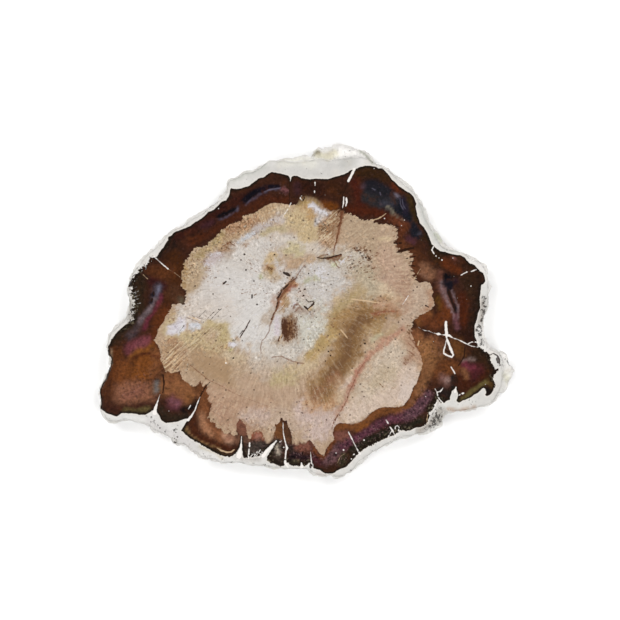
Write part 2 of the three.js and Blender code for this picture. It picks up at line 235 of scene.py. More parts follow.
# Colours of the heartwood
HEART_WASHES = ("#b59a80", [
    ("#d5cfca", 36, 14, (228, 288), (250, 285), (268, 300)),
    ("#d7d2cd", 26, 12, (245, 318), (262, 330), (250, 300)),
    ("#d3cac2", 17, 9, (205, 300), (222, 312)),
    ("#c9c3bd", 26, 12, (318, 285), (325, 275)),
    ("#cbc7bb", 20, 10, (308, 320), (312, 335)),
    ("#cdc5bb", 12, 9, (292, 352), (262, 358)),
    ("#c6bcaf", 11, 9, (345, 262), (358, 258)),
    ("#d2cbc4", 16, 9, (262, 246), (236, 256)),
    ("#d0c6bc", 9, 6, (282, 240), (299, 242), (314, 248)),
    ("#b49c80", 10, 4, (190, 284), (193, 270), (200, 258), (211, 250), (223, 241)),
    ("#b69a7a", 8, 4, (220.5, 238.5), (234.5, 229), (248.5, 219), (262.5, 212), (275, 209)),
    ("#c8b69c", 6, 4, (284, 211), (287, 223)),
    ("#a69068", 3, 3, (197, 256), (208, 249), (218, 240), (222, 235)),
    ("#b5a598", 3.6, 4, (220, 259), (231, 251)),
    ("#a98466", 4.5, 3.5, (229, 231), (241.5, 225), (256, 220)),
    ("#9f8066", 3, 2.5, (222, 250), (231, 245)),
    ("#c3b6b6", 4, 4, (205, 266), (211, 260), (218.5, 257)),
    ("#beb3ae", 3.5, 3.5, (255.5, 230), (266, 224), (279, 219), (288, 214)),
    ("#c4c6ca", 2.4, 2.5, (238, 241.5), (245, 237), (252, 233)),
    ("#bcac8a", 3, 3, (262.5, 234.5), (273, 229.5), (284.5, 227.5)),
    ("#c5ae88", 12, 5, (297, 217), (303, 226), (309, 232)),
    ("#b8966a", 5, 4, (311.5, 216), (309, 209)),
    ("#a88c5c", 4, 3, (301, 203), (309, 200), (317, 204)),
    ("#c8c2c4", 3.4, 2.4, (312, 205), (318, 209.5), (327, 214.5)),
    ("#c2bbb8", 3, 3, (320, 216), (317, 222)),
    ("#8e6a4c", 7.5, 4, (341, 215), (334, 222), (328, 230), (328.5, 240)),
    ("#a8947c", 4, 3, (320, 258), (340, 257)),
    ("#b49c82", 15, 8, (351.5, 223), (369, 233.5), (383, 244)),
    ("#b99f86", 13, 8, (390, 240), (398, 262)),
    ("#b9aa92", 13, 9, (374, 290), (366, 276)),
    ("#ba9c86", 13, 9, (387, 262), (396, 282)),
    ("#bda590", 14, 9, (420, 294), (424, 304), (398, 318)),
    ("#ae8e78", 7, 5, (404, 280), (404, 303)),
    ("#ac866c", 3, 3, (432, 289), (431, 304), (424, 311)),
    ("#ccb69a", 6, 5, (384, 292), (394, 300)),
    ("#b08c74", 5, 5, (382, 308), (398, 312)),
    ("#bfb18e", 4, 4, (286.5, 251), (291, 246), (300, 252)),
    ("#b79a7e", 4, 4, (292, 265), (302.5, 260), (313, 257)),
    ("#b8b69c", 2.2, 2.2, (304, 282), (311, 279.5), (316, 277)),
    ("#c9c8a8", 3, 2, (334, 265)),
    ("#a08474", 3.5, 3, (383, 278)),
    ("#cdb694", 1.8, 1.4, (380, 239.5), (388, 238.5)),
    ("#b09a88", 3, 2.5, (245, 246)),
    ("#c8ae88", 4, 3.5, (269.5, 261), (272, 256)),
    ("#a87234", 3.4, 2.2, (267.4, 268.5), (271.5, 271.5)),
    ("#b0a060", 2.6, 2, (273.5, 276)),
    ("#b8b890", 1.8, 1.5, (260.5, 275.5)),
    ("#d1c6bc", 12, 7, (184, 316), (207, 312)),
    ("#b89c78", 4, 3, (174, 312)),
    ("#c0ac86", 8, 5, (170, 326), (178, 338), (196, 338)),
    ("#d3ccd2", 5, 2.4, (172, 330), (178, 326), (182, 323)),
    ("#c9c1c6", 3.2, 2.2, (176, 331.5), (183, 328)),
    ("#dcdadc", 0.9, 1, (176.5, 335), (180, 329), (184.5, 321.5)),
    ("#cbccd0", 3.8, 2, (194, 326), (199, 324.5)),
    ("#c0ad86", 6, 5, (208.5, 326), (224.5, 330), (223, 340), (229, 347.5)),
    ("#b9a67c", 4, 4, (223, 330), (223, 340)),
    ("#bfa985", 9, 6, (200, 344), (214, 350)),
    ("#d0c8cc", 2.4, 1.8, (230, 345), (234, 344.5)),
    ("#bf9c6c", 2, 2, (226, 349.5)),
    ("#b0aa70", 1.6, 1.6, (231.5, 350.5)),
    ("#c4b094", 6, 5, (229, 356), (241, 361)),
    ("#a98b6c", 13, 8, (200, 362), (214, 366), (226, 376)),
    ("#b89e84", 8, 7, (240, 370), (258, 378)),
    ("#aa8a6a", 8, 5, (168, 352), (178, 362), (168, 366)),
    ("#a98668", 4, 4, (174, 342), (181, 348)),
    ("#c0b0a0", 9, 8, (258, 366), (278, 368)),
    ("#b4937a", 15, 9, (214, 400), (240, 406), (262, 404)),
    ("#b89c84", 12, 9, (250, 386), (280, 392), (296, 396)),
    ("#baa780", 7, 7, (276, 378), (290, 375)),
    ("#bea692", 12, 8, (280, 420), (305, 425)),
    ("#c0a89a", 8, 6, (248, 417), (262, 417)),
    ("#a8866e", 5, 5, (240, 424), (256, 431)),
    ("#b08e76", 7, 5, (216, 408), (226, 420)),
    ("#c6b0a6", 11, 7, (318, 432), (330, 420), (306, 412)),
    ("#b28a68", 9, 7, (312, 402), (330, 400)),
    ("#b19a74", 6.5, 5.5, (357, 293), (341, 307), (334, 320), (329, 335), (322, 346)),
    ("#c8b292", 6, 6, (313, 360), (299, 371)),
    ("#a07e52", 4.5, 4, (351, 312), (341, 316), (335, 329)),
    ("#98764e", 13, 8, (384, 309), (367, 314), (353, 328), (347, 346), (339, 364), (323, 386)),
    ("#86643f", 9, 6, (374, 316), (363, 321), (356, 331), (353, 344), (350, 356), (342, 367),
        (331, 378), (320, 391)),
    ("#745336", 5, 5, (362, 320), (353, 328), (348, 341), (347.5, 354), (340, 367), (331, 376)),
    ("#955f44", 1.6, 2, (371, 315.5), (380, 312), (396, 312)),
    ("#9a6a4c", 1.6, 2, (378, 305), (394, 309)),
    ("#8c6044", 4.5, 5, (336, 377), (330, 383)),
    ("#8f674a", 5.5, 5, (320, 390), (317, 396)),
    ("#b79c7c", 4, 4, (393, 328), (380, 341), (369, 354)),
    ("#c2a88c", 3.2, 3, (375, 343), (364, 358), (355, 369), (345, 384), (339.5, 398)),
    ("#bdb395", 3, 3, (381, 333), (374, 340)),
    ("#ccb6a6", 3, 2.5, (349, 378), (344, 389)),
    ("#cab8a4", 15, 7, (394, 356), (382, 376), (368, 398)),
    ("#cfbaa9", 10, 6, (408, 372), (402, 392), (374, 404), (352, 414)),
    ("#d2c0b4", 6, 5, (410, 383), (404, 398)),
    ("#c0ad94", 7, 6, (374, 384), (388, 372)),
    ("#b38872", 4.4, 3.2, (402, 330), (392, 337), (380, 346), (368, 357)),
    ("#ae7c68", 2.8, 2, (368, 357), (361, 367), (355, 380), (350, 390)),
    ("#b28a76", 2, 1.6, (350, 390), (345, 403), (338, 414)),
    ("#9c7a66", 4.5, 4, (406, 360), (412, 355)),
    ("#b59279", 6, 4, (409, 338), (416, 350), (420, 363)),
    ("#b8957a", 5, 6, (381, 303), (394, 303)),
    ("#d4c6b6", 5, 4, (311, 250)),
    ("#b99a68", 4.5, 5, (311, 357), (322, 347), (331, 334)),
    ("#b8a488", 4, 5, (203, 268)),
    ("#bc9a6e", 4, 4, (269, 270), (275, 276)),
    ("#a06a30", 2, 2, (267.5, 269.5), (271.5, 272)),
    ("#b9977a", 5, 5, (328, 241)),
    ("#a5875f", 5, 6, (372, 331), (378, 327)),
    ("#a98668", 5, 7, (338, 384)),
    ("#a3845c", 3, 4, (184, 264), (184, 287)),
    ("#b5a390", 3.5, 4, (276, 341), (286, 343)),
    ("#bfa888", 4, 4, (338, 302)),
    ("#c0ab98", 5, 5, (266, 375)),
    ("#9c7458", 2.6, 2, (342.5, 213), (340, 226), (337, 238)),
    ("#bcb68a", 1.0, 1.2, (308, 308.5), (312, 306.5)),
    ("#bfae98", 4, 4, (266, 273), (275, 277)),
    ("#b8a898", 5, 5, (266, 322), (274, 310)),
    ("#ac9b8e", 5, 5, (294, 311), (303, 312), (311, 312)),
    ("#b58a66", 4.5, 3, (292, 284), (286, 293), (282, 303)),
    ("#965e4c", 2.2, 1.8, (292, 287), (288.5, 292)),
    ("#b89c8c", 3, 2.5, (274, 299), (274, 306)),
    ("#ac9070", 3.4, 2.5, (286, 299), (282, 310)),
    ("#c8bcb2", 5, 4, (301, 292), (306, 297)),
    ("#8c6c4e", 6.5, 5, (290, 323), (290, 333)),
    ("#cfc3c8", 3, 2, (276.5, 320), (276.5, 332)),
])

# Colours of the brown band
BAND_WASHES = ("#3e2216", [
    ("#3a1a12", 6, 5, (172, 240), (200, 222), (230, 205), (262, 192)),
    ("#4c2412", 4, 4, (190, 243), (215, 230), (235, 218), (250, 209), (270, 200), (285, 201)),
    ("#2a1a14", 6, 5, (166, 250), (172, 246)),
    ("#44240f", 8, 6, (174, 258), (180, 266), (176, 282), (170, 298)),
    ("#5e341a", 6.5, 6, (154, 272), (162, 274), (168, 272)),
    ("#523220", 8, 5, (174, 293), (178, 298)),
    ("#5c4f3e", 3.2, 3, (181, 300)),
    ("#3a1616", 4.5, 4, (150, 281), (156, 284), (162, 286)),
    ("#2f2114", 6, 4, (141, 280), (138, 295), (139, 312), (134, 322), (122, 331), (113, 342)),
    ("#4a4048", 4.6, 3, (157.5, 288), (156, 296)),
    ("#75666a", 2.4, 2.8, (155, 300), (150, 308), (146, 314), (140, 322)),
    ("#6a6878", 1.6, 2.2, (159, 288), (158.5, 294)),
    ("#6b2c3a", 1.7, 2.4, (161, 295), (158, 306), (152.5, 314), (147, 321.5), (144, 328)),
    ("#14131c", 1.6, 1, (153.5, 293), (153.8, 295)),
    ("#1b1a22", 1.9, 1.2, (152.5, 300), (151, 302)),
    ("#5e3016", 7, 5, (167, 312), (160, 322), (157, 334), (152, 341)),
    ("#4c3e40", 3.6, 3.5, (138, 328), (130, 336)),
    ("#2c2630", 1.6, 1.2, (136, 333.6)),
    ("#3a3036", 1.8, 1.4, (129, 340.7)),
    ("#5e3318", 6, 5, (117, 352), (116, 362), (112, 378), (108, 392)),
    ("#743c42", 5.5, 3.5, (146, 341), (136, 345), (130, 349)),
    ("#84484e", 3.2, 3, (142, 343), (136, 346)),
    ("#784422", 6, 5, (124, 366), (122, 380)),
    ("#7c471f", 12, 8, (146, 362), (140, 372)),
    ("#7c4c2c", 5, 4, (155, 352), (158, 364), (152, 372)),
    ("#8a5426", 2.0, 3, (131, 356.5), (138, 351.5), (148, 348.5), (153, 345)),
    ("#4c2012", 0.9, 1.2, (131.5, 358.5), (139.5, 355), (148.5, 353.2), (157.5, 357)),
    ("#8c5c44", 10, 6, (123, 393), (135, 391), (147, 392)),
    ("#885846", 4, 5, (126, 396), (142, 390)),
    ("#4c2a1a", 2, 2, (110, 380), (107, 392), (106, 402)),
    ("#44241a", 1.6, 1.8, (108, 406), (122, 409), (136, 406.5), (150, 403.5)),
    ("#5e5030", 3, 2, (126, 410.5), (138, 411), (148, 409)),
    ("#8c745c", 0.9, 1.1, (111, 351), (111.5, 358), (111, 364)),
    ("#8a6448", 1, 2, (153.5, 385), (154, 393)),
    ("#605646", 2.2, 1.8, (158, 382.5), (160, 389)),
    ("#8e5c3a", 12, 6, (170, 384), (176, 388), (192, 395)),
    ("#875632", 5, 5, (191, 398)),
    ("#7a4c30", 4, 3, (171, 379)),
    ("#5c3820", 4, 3, (197, 388), (203, 390)),
    ("#683a42", 7, 5, (174, 403)),
    ("#805058", 2.4, 3, (172, 401), (177, 404)),
    ("#33261a", 3.6, 3, (161, 410), (168, 418.5), (178, 418), (186, 415)),
    ("#140c0c", 4, 3, (185, 410), (192, 407), (199, 399)),
    ("#7a4a2c", 6.5, 5, (204, 394), (205, 410)),
    ("#8a583a", 6.5, 5, (208, 426), (222, 438)),
    ("#aa7858", 3, 3.5, (201.5, 416), (203, 425), (211, 434)),
    ("#4c2614", 3.2, 3, (193, 421), (195, 432), (204, 440), (219, 446), (230, 448)),
    ("#5c4a2c", 3, 2, (185.5, 431)),
    ("#3a2a18", 1.8, 1.5, (187, 436.5), (200, 444.5), (216, 452), (229, 455.5)),
    ("#c99c80", 3.6, 4, (226, 436), (229, 440)),
    ("#8a6844", 0.7, 0.9, (188, 427.5), (190, 434), (195, 439), (202, 442.5), (211, 445.6), (220, 449)),
    ("#7a5440", 4, 3, (238, 440)),
    ("#7e5240", 6, 2, (240, 424), (243, 430)),
    ("#6c4c3c", 4, 2.5, (246, 441)),
    ("#3c2820", 4, 2.5, (245, 448), (245.5, 455)),
    ("#a4644c", 3, 2, (253, 436), (258, 431.5), (263, 437)),
    ("#b07e66", 3, 2.5, (258, 437)),
    ("#463c36", 6, 3, (253, 448), (261, 446)),
    ("#704628", 5, 2.5, (278.5, 425), (278.5, 437)),
    ("#5c3c28", 3.5, 2, (287, 428), (288.5, 440)),
    ("#453830", 6, 3, (277, 445), (277, 460)),
    ("#b8aa98", 2.4, 2, (276, 447), (279, 451)),
    ("#352823", 5, 3, (292, 448), (294, 460)),
    ("#825244", 4.5, 4, (299, 447), (309, 446)),
    ("#2a1a1e", 4, 3, (292, 457), (306, 458)),
    ("#6a6048", 1.6, 1.2, (291.5, 462.5), (298, 462)),
    ("#4a2428", 5, 4, (316, 460), (324, 467)),
    ("#66484a", 6, 4, (330, 456), (328, 462), (338, 447)),
    ("#6a3c22", 2.5, 2, (315, 450), (322.5, 458), (327, 451), (333, 442), (335, 430)),
    ("#3e2416", 5, 3, (322, 471), (333, 469)),
    ("#7c4e42", 5, 4, (339, 434), (346, 436)),
    ("#7a4a28", 4, 2.5, (336, 427), (345, 426), (355, 427), (364, 422), (373, 415), (381, 411),
        (392, 411), (403, 410), (412, 403), (417, 393), (421, 380)),
    ("#8a5226", 2.5, 2.5, (358, 429), (367, 425)),
    ("#845230", 2, 2, (396, 412.5), (404, 411.5)),
    ("#623844", 4.2, 3, (343, 447), (357, 438), (368.5, 431.5), (380, 424), (391.5, 418.5), (403, 417),
        (414.5, 411.5), (424.5, 398)),
    ("#54404a", 2, 2, (424, 404), (417, 414)),
    ("#262218", 3.8, 2.5, (352, 450.5), (364, 443), (376, 437), (387.5, 431.5), (399, 427),
        (411, 425.5), (422, 420)),
    ("#3a3222", 4.5, 2.5, (344, 457), (343, 464)),
    ("#8a5838", 6, 5, (416, 336), (423, 346)),
    ("#7a4e34", 5, 4, (433, 339), (439, 344)),
    ("#6e482c", 7, 5, (441, 354)),
    ("#966640", 8, 5, (426, 347), (428, 366)),
    ("#865a3a", 5, 3.5, (427, 366), (425, 378), (419, 392)),
    ("#6e4022", 7, 5, (446, 366), (454, 368), (440, 374)),
    ("#7c5850", 4.2, 4, (443, 379), (446, 382)),
    ("#9c7c74", 2.4, 2.6, (447.5, 380.5)),
    ("#1c1c1a", 2.6, 2, (453, 377), (455, 383), (453.5, 388)),
    ("#281c1a", 5.5, 3, (440, 393), (447, 396)),
    ("#62424a", 5, 3, (428, 395), (423, 403), (418, 409), (407, 416)),
    ("#30180f", 7, 4, (463, 330), (470, 336)),
    ("#684020", 6, 4, (456, 344), (459, 352)),
    ("#342012", 8, 5, (478, 354), (484, 362), (486, 372)),
    ("#45200f", 8, 5, (463, 382), (474, 380), (480, 376)),
    ("#7a6660", 1.8, 1.8, (463.5, 361), (469, 358.8), (475, 359.5)),
    ("#4c2022", 5, 4, (473, 375), (479, 369)),
    ("#6c2f3a", 3.4, 2.8, (465, 364), (469, 367), (473, 367)),
    ("#86583a", 2.8, 2.6, (464.5, 371), (466.5, 376)),
    ("#665832", 2.4, 1.6, (459.7, 401), (467.3, 395.4), (476.5, 388.5), (486, 382)),
    ("#523a1c", 3.2, 2.2, (490, 379), (492, 386)),
    ("#181413", 3, 2, (487, 391), (490, 393)),
    ("#4c2a17", 10, 6, (416, 256), (420, 268)),
    ("#8a5f46", 5.5, 4, (424, 268), (430, 275)),
    ("#86604c", 0.6, 0.9, (419, 273.5), (424, 275), (428, 278)),
    ("#6a4234", 3, 3, (440, 272), (440, 288)),
    ("#624019", 2.4, 3, (438, 298), (440, 308)),
    ("#33200f", 5, 4, (425, 238), (434, 252), (441, 264)),
    ("#602e14", 4, 3.5, (444, 262), (452, 266.5), (458, 271)),
    ("#84524a", 2.2, 2, (454.5, 258.2)),
    ("#361e10", 6, 4, (466, 266), (474, 274), (472, 284)),
    ("#40241a", 5, 5, (459, 290), (464, 284)),
    ("#4e220e", 5, 4, (464, 297), (463, 309), (463, 322)),
    ("#2c1a10", 4, 3, (478, 279), (476.5, 295), (474.5, 309), (471, 326)),
    ("#7c4c2a", 4, 3, (419, 321), (429, 314)),
    ("#6c381a", 6, 4, (447, 303), (446, 313), (441, 321)),
    ("#6a3a20", 5, 4, (426, 320), (434, 325)),
    ("#2c1824", 3, 3, (455.5, 281)),
    ("#362214", 6, 5, (466, 277), (471, 292)),
    ("#746c68", 2.2, 2, (156.5, 382), (156, 391)),
    ("#85593f", 2.5, 2.5, (412, 401)),
    ("#0d0b10", 5.6, 1.6, (447.5, 279), (449, 285)),
    ("#3a2a2a", 0.8, 1, (448, 280.5), (455, 281)),
    ("#7c5c5a", 2.4, 3, (442, 284), (445, 296), (449, 305)),
    ("#8e787a", 0.6, 1.3, (440.8, 281), (442.5, 290), (447.5, 300), (452, 309), (454.5, 318)),
    ("#8a7478", 0.6, 1.3, (452.5, 291), (455, 300), (457.6, 308), (457.6, 318)),
    ("#17141a", 1.0, 1.0, (447.5, 291), (450.5, 298), (453.6, 305), (455.4, 312)),
    ("#744a50", 1.8, 2.6, (455.5, 315), (456.3, 323), (457.7, 328)),
    ("#38220f", 7, 5, (356, 172), (370, 171), (384, 176)),
    ("#4a1e12", 4.5, 4, (355.5, 181.5), (357.5, 195.5), (361, 206)),
    ("#3c2010", 6, 5, (332, 186), (340, 192)),
    ("#4c200f", 4, 3, (350, 208), (364, 212), (378, 212), (386, 216)),
    ("#26252a", 6.5, 3, (369, 195), (379, 196)),
    ("#1d1b22", 6, 3, (369.5, 185), (378.5, 186), (387.5, 192.5), (390, 201)),
    ("#222127", 6, 2.5, (371, 190), (385, 194), (394, 203), (402, 210)),
    ("#191b24", 5.4, 2, (402, 208), (408, 217), (413, 226), (416.5, 234)),
    ("#2b292b", 5.6, 2.5, (367, 198), (380, 203), (392, 206)),
    ("#1c1d25", 3.4, 2, (394, 206), (401, 213)),
    ("#4c3a42", 2.6, 2.6, (363, 187)),
    ("#3a3942", 2.6, 2.6, (381, 202), (390.5, 205.5)),
    ("#8c8270", 0.9, 1.4, (387, 207), (391, 209), (392.5, 213), (397, 217), (402, 220)),
    ("#5c2a16", 3, 2, (394, 186), (399.5, 190.5)),
    ("#655f6a", 1.8, 2, (395.5, 195.3), (398, 197.7)),
    ("#201c2a", 3.4, 2, (402, 200), (405, 204), (406.5, 212)),
    ("#3a2a10", 3.2, 3, (409.5, 197), (412, 206), (416.5, 219)),
    ("#683822", 4, 3, (393.5, 219.5), (399.5, 222), (405.5, 226)),
    ("#5e321c", 4, 3, (402, 231), (401, 238)),
    ("#54303a", 2.8, 3, (408, 239), (413, 242)),
    ("#4a4650", 1.6, 1.5, (419.3, 233.5)),
    ("#3a2016", 5, 3, (425, 246)),
    ("#623820", 5, 4, (402, 244), (411, 256), (414, 268)),
    ("#713e14", 4, 3, (322, 205.5), (334, 207)),
    ("#30170e", 6, 4, (303, 186), (318, 191)),
    ("#6a4c30", 4, 3, (304, 200), (314, 201)),
    ("#3c2224", 3.5, 3, (297, 186), (297, 192)),
    ("#0f0c16", 3.2, 1.3, (245, 200), (252, 194.5), (259, 190.5)),
    ("#120e1a", 2.2, 1.2, (259, 190), (267, 186.8), (279, 186.3)),
    ("#0c0a10", 2.0, 1.2, (218.5, 216), (226, 213.5), (235, 209)),
    ("#544d5c", 0.7, 1.0, (219, 220), (229, 216), (236.5, 211), (238, 207)),
    ("#544d5c", 0.6, 1.1, (246, 204), (252, 200), (260, 194.6), (269, 190.5), (280, 188.6)),
    ("#6e4446", 2.2, 2, (283, 189), (286.5, 191.5)),
    ("#3e2024", 3, 3, (212, 222), (204, 226)),
    ("#281710", 3, 2.5, (455, 276)),
    ("#1a1620", 3.4, 1.8, (445.5, 282), (451, 286)),
    ("#1a1620", 0.9, 1, (449, 292), (455, 309)),
    ("#a87860", 3, 3, (229, 438)),
    ("#98685a", 3, 3, (257, 437)),
])

# How much the fine brown and cream dots of the wood show
GRAIN_WASHES = (0.3, [
    (0.0, 26, 12, (225, 285), (245, 315)),
    (0.0, 14, 8, (205, 365), (225, 375)),
    (0.08, 16, 9, (250, 395), (285, 398)),
    (0.1, 9, 6, (352, 326), (346, 350), (336, 372)),
    (0.8, 9, 4, (187, 276), (194, 258), (210, 247), (228, 236)),
    (1.0, 6, 4, (228, 232), (241, 225), (254, 220)),
    (0.6, 7, 4, (254, 218), (270, 211), (285, 212), (300, 220)),
    (0.9, 9, 4, (330, 218), (324, 229), (327, 240)),
    (0.55, 12, 8, (345, 262), (365, 265)),
    (0.5, 9, 6, (300, 292), (296, 306)),
    (0.7, 10, 6, (170, 352), (180, 364)),
    (0.55, 12, 8, (200, 338), (222, 345)),
    (0.35, 12, 7, (376, 376), (394, 362), (400, 350)),
    (0.55, 10, 6, (312, 340), (322, 326), (302, 352)),
    (0.4, 13, 7, (262, 424), (300, 428), (325, 432)),
    (0.2, 8, 6, (405, 385), (380, 400)),
])

# How thickly dark brown fibres and grains lie in the heartwood
CHAR_WASHES = (0.0, [
    (0.9, 1.3, 1.1, (296, 277), (290, 282.5), (285, 287)),
    (0.95, 2.2, 1.6, (284, 288), (280.5, 293.5), (278, 299)),
    (0.7, 2.2, 1.6, (286, 289), (281, 295.5)),
    (0.42, 6, 4, (206, 262), (208, 278)),
    (0.32, 7, 5, (252, 262), (256, 282)),
    (0.5, 4, 3, (224, 285), (232, 283)),
    (0.34, 8, 6, (244, 292), (262, 296)),
    (0.45, 3, 3, (214, 257), (224, 255)),
    (0.36, 6, 5, (266, 290), (284, 268), (300, 272)),
    (0.5, 4, 3, (225, 248), (232, 244)),
    (0.4, 2.5, 2, (243.5, 247), (249, 246)),
    (0.34, 5, 3, (239, 241), (256, 233), (268, 228)),
    (0.5, 3, 3, (395, 228), (394, 243), (399, 251), (409, 262), (412, 276)),
    (0.36, 7, 5, (176, 311), (172, 318)),
    (0.3, 8, 6, (205, 340), (222, 350)),
    (0.95, 3.2, 2, (340.5, 212), (339.5, 222)),
    (1.1, 1.0, 0.9, (278, 300), (277.5, 305), (274.5, 312), (271.5, 320)),
    (0.8, 2.4, 1.6, (267.5, 268.5), (272.5, 269)),
    (0.6, 3, 3, (295, 317), (299, 330), (296, 338)),
    (0.86, 4.4, 2.6, (291, 320.5), (293, 329), (292, 335)),
    (1.05, 3.6, 2.2, (285.5, 321), (287, 330), (287, 338)),
    (1.4, 2.4, 1.2, (283.6, 319.5), (283.4, 334)),
    (0.95, 1.6, 1.4, (282, 335), (277.5, 341)),
    (0.6, 3.0, 2.4, (283, 317), (291, 317.5)),
    (1.0, 0.8, 0.7, (304.5, 306.3), (308, 308.8), (310.5, 306.4), (313.5, 303.4)),
    (0.9, 0.5, 0.6, (306, 299.5), (308.5, 302), (313.5, 301.3)),
    (0.9, 2.4, 2.5, (355, 248), (362, 254), (369, 259)),
    (0.6, 5, 4, (362, 248), (374, 254)),
    (0.48, 7, 4, (354, 266), (364, 264), (374, 275)),
    (0.5, 3, 3, (411, 318), (409, 334)),
    (0.5, 5, 4, (345, 268), (350, 258)),
    (0.42, 5, 4, (337, 217), (332, 226), (326, 234)),
    (0.85, 0.9, 1.0, (342.3, 211), (341, 219), (339, 228), (337.5, 236), (335.5, 243), (334, 250)),
    (0.95, 1.3, 1.1, (322, 258.4), (330, 257.6), (337, 256), (341, 254.8)),
    (0.2, 7, 5, (190, 262), (200, 252), (215, 240), (235, 228)),
    (0.38, 5, 4, (229, 232), (243, 226), (256, 222)),
    (0.3, 4, 4, (331, 316), (332, 326), (329, 335), (322, 344), (313, 354)),
    (0.22, 9, 6, (172, 352), (183, 366)),
    (0.25, 7, 5, (275, 247), (262, 253)),
    (0.28, 6, 5, (300, 287), (306, 296)),
    (0.24, 9, 5, (215, 425), (250, 425), (290, 425), (320, 440)),
    (0.2, 10, 6, (385, 385), (400, 365)),
    (0.3, 4, 3, (405, 360), (413, 350)),
    (0.6, 0.5, 0.7, (366, 360), (358, 372), (352, 387), (347, 400), (340, 412), (333, 423)),
])

# How thickly pale crystals lie in the heartwood
FROST_WASHES = (0.0, [
    (0.3, 26, 14, (228, 288), (250, 300), (258, 325)),
    (0.34, 22, 10, (318, 283), (312, 315)),
    (0.62, 3.8, 2.6, (173, 330), (183.5, 324), (180, 331)),
    (0.62, 3.2, 2.4, (194, 326), (199, 324.5)),
    (0.8, 1.8, 1.6, (230, 345), (234, 344.5)),
    (0.75, 2.6, 2.0, (312, 205), (318, 209.5), (327, 214)),
    (0.5, 2.4, 3.0, (238, 241.5), (245, 237), (258, 232)),
    (0.45, 3.2, 3.0, (264, 222), (278, 219)),
    (0.5, 4, 3, (292, 301), (297, 307)),
    (0.45, 3, 3, (276, 322), (275, 334)),
    (0.55, 5, 4, (312, 268), (324, 272)),
    (0.5, 5, 4, (340, 262), (350, 256)),
    (0.45, 6, 4, (205, 264), (220, 256)),
])

# How thickly ochre and olive grains lie in the heartwood
OCHRE_WASHES = (0.0, [
    (0.34, 10, 6, (352, 291), (340, 306), (334, 322), (326, 340), (312, 356), (300, 368)),
    (0.66, 3.6, 3.0, (352, 294), (346, 302), (338, 308), (332.5, 316), (330, 328), (324, 340),
        (315, 351), (308, 358)),
    (0.4, 7, 6, (208.5, 325), (224.5, 331), (223, 342)),
    (0.3, 10, 6, (180, 340), (200, 342)),
    (0.3, 13, 7, (297, 218), (303, 228)),
    (0.4, 8, 5, (187, 276), (194, 258), (210, 247), (225, 236)),
    (0.35, 7, 5, (276, 378), (292, 375)),
    (1.0, 2.6, 2.0, (270, 268), (271.5, 272)),
    (0.5, 5, 3, (267, 258), (280, 262)),
    (0.4, 6, 4, (292, 263), (312, 258)),
    (0.35, 5, 4, (306, 281), (316, 278)),
    (0.6, 1.6, 1.2, (308, 310.5), (312, 307)),
    (0.24, 10, 6, (376, 376), (394, 362)),
    (0.3, 6, 5, (312, 326), (306, 340)),
])

# How much the rays of the wood show
RAY_WASHES = (0.25, [
    (0.12, 30, 14, (225, 290), (245, 315)),
    (0.08, 12, 5, (203, 362), (222, 372)),
    (0.4, 9, 5, (187, 276), (194, 258), (228, 234)),
    (0.6, 7, 5, (228, 234), (252, 222), (280, 212)),
    (0.2, 16, 8, (385, 315), (365, 320), (352, 340), (344, 362), (324, 385)),
    (0.4, 12, 7, (290, 385), (318, 398)),
    (0.6, 8, 4, (288, 320), (290, 338)),
    (0.3, 14, 8, (385, 380), (370, 400)),
    (0.3, 12, 7, (215, 410), (260, 418), (310, 430)),
    (0.45, 9, 5, (398, 262), (405, 280)),
])

# How much the comb of slanting stripes shows
COMB_WASHES = (0.0, [
    (1.0, 6, 3, (166, 366), (172, 358), (180, 350)),
    (0.5, 6, 4, (182, 354), (196, 341)),
    (0.6, 4, 3, (205, 334), (218, 330)),
    (0.75, 7, 4, (340, 216), (331, 226), (325, 238)),
    (0.4, 5, 4, (318, 250), (330, 248)),
    (0.3, 8, 5, (352, 262), (364, 252)),
])

# How softly the heartwood's edge fades into the band, in pixels
FADE_WASHES = (0.0, [
    (4.5, 7, 4, (305, 201), (320, 207)),
    (1.2, 7, 4, (329, 212), (338, 213)),
    (0.8, 6, 4, (352, 426), (368, 420)),
    (1.5, 6, 4, (270, 441), (300, 445)),
])

# How much the brown band is built of small bright and dark grains
CRYSTAL_WASHES = (0.12, [
    (1.0, 8, 4, (345, 446), (365, 436), (385, 426), (405, 419), (420, 408), (428, 394)),
    (0.9, 9, 4, (275, 446), (292, 452), (312, 456), (330, 456)),
    (0.8, 8, 4, (252, 446), (262, 448)),
    (0.5, 9, 5, (130, 392), (145, 380)),
    (0.5, 10, 6, (440, 350), (425, 345)),
    (0.6, 5, 3, (284, 190)),
    (1.0, 5, 3, (345, 458), (343, 464)),
    (0.5, 6, 4, (401, 232), (396, 224)),
])

# How wide the dark scalloped crust is inside the rind, in pixels
CRUST_WASHES = (2.2, [
    (5.0, 9, 5, (140, 275), (134, 290), (135, 310), (128, 325)),
    (4.0, 9, 5, (165, 242), (150, 262)),
    (3.0, 8, 5, (440, 256), (430, 242)),
    (3.0, 9, 5, (470, 300), (474, 285), (472, 318)),
    (4.5, 8, 5, (484, 360), (490, 372)),
    (5.5, 7, 4, (440, 396), (430, 408)),
    (5.0, 8, 4, (355, 452), (380, 440), (405, 430)),
    (5.0, 8, 4, (255, 452), (275, 458), (295, 460), (310, 462)),
    (2.6, 8, 4, (120, 410), (145, 410)),
    (1.2, 8, 5, (104, 385), (104, 400)),
])

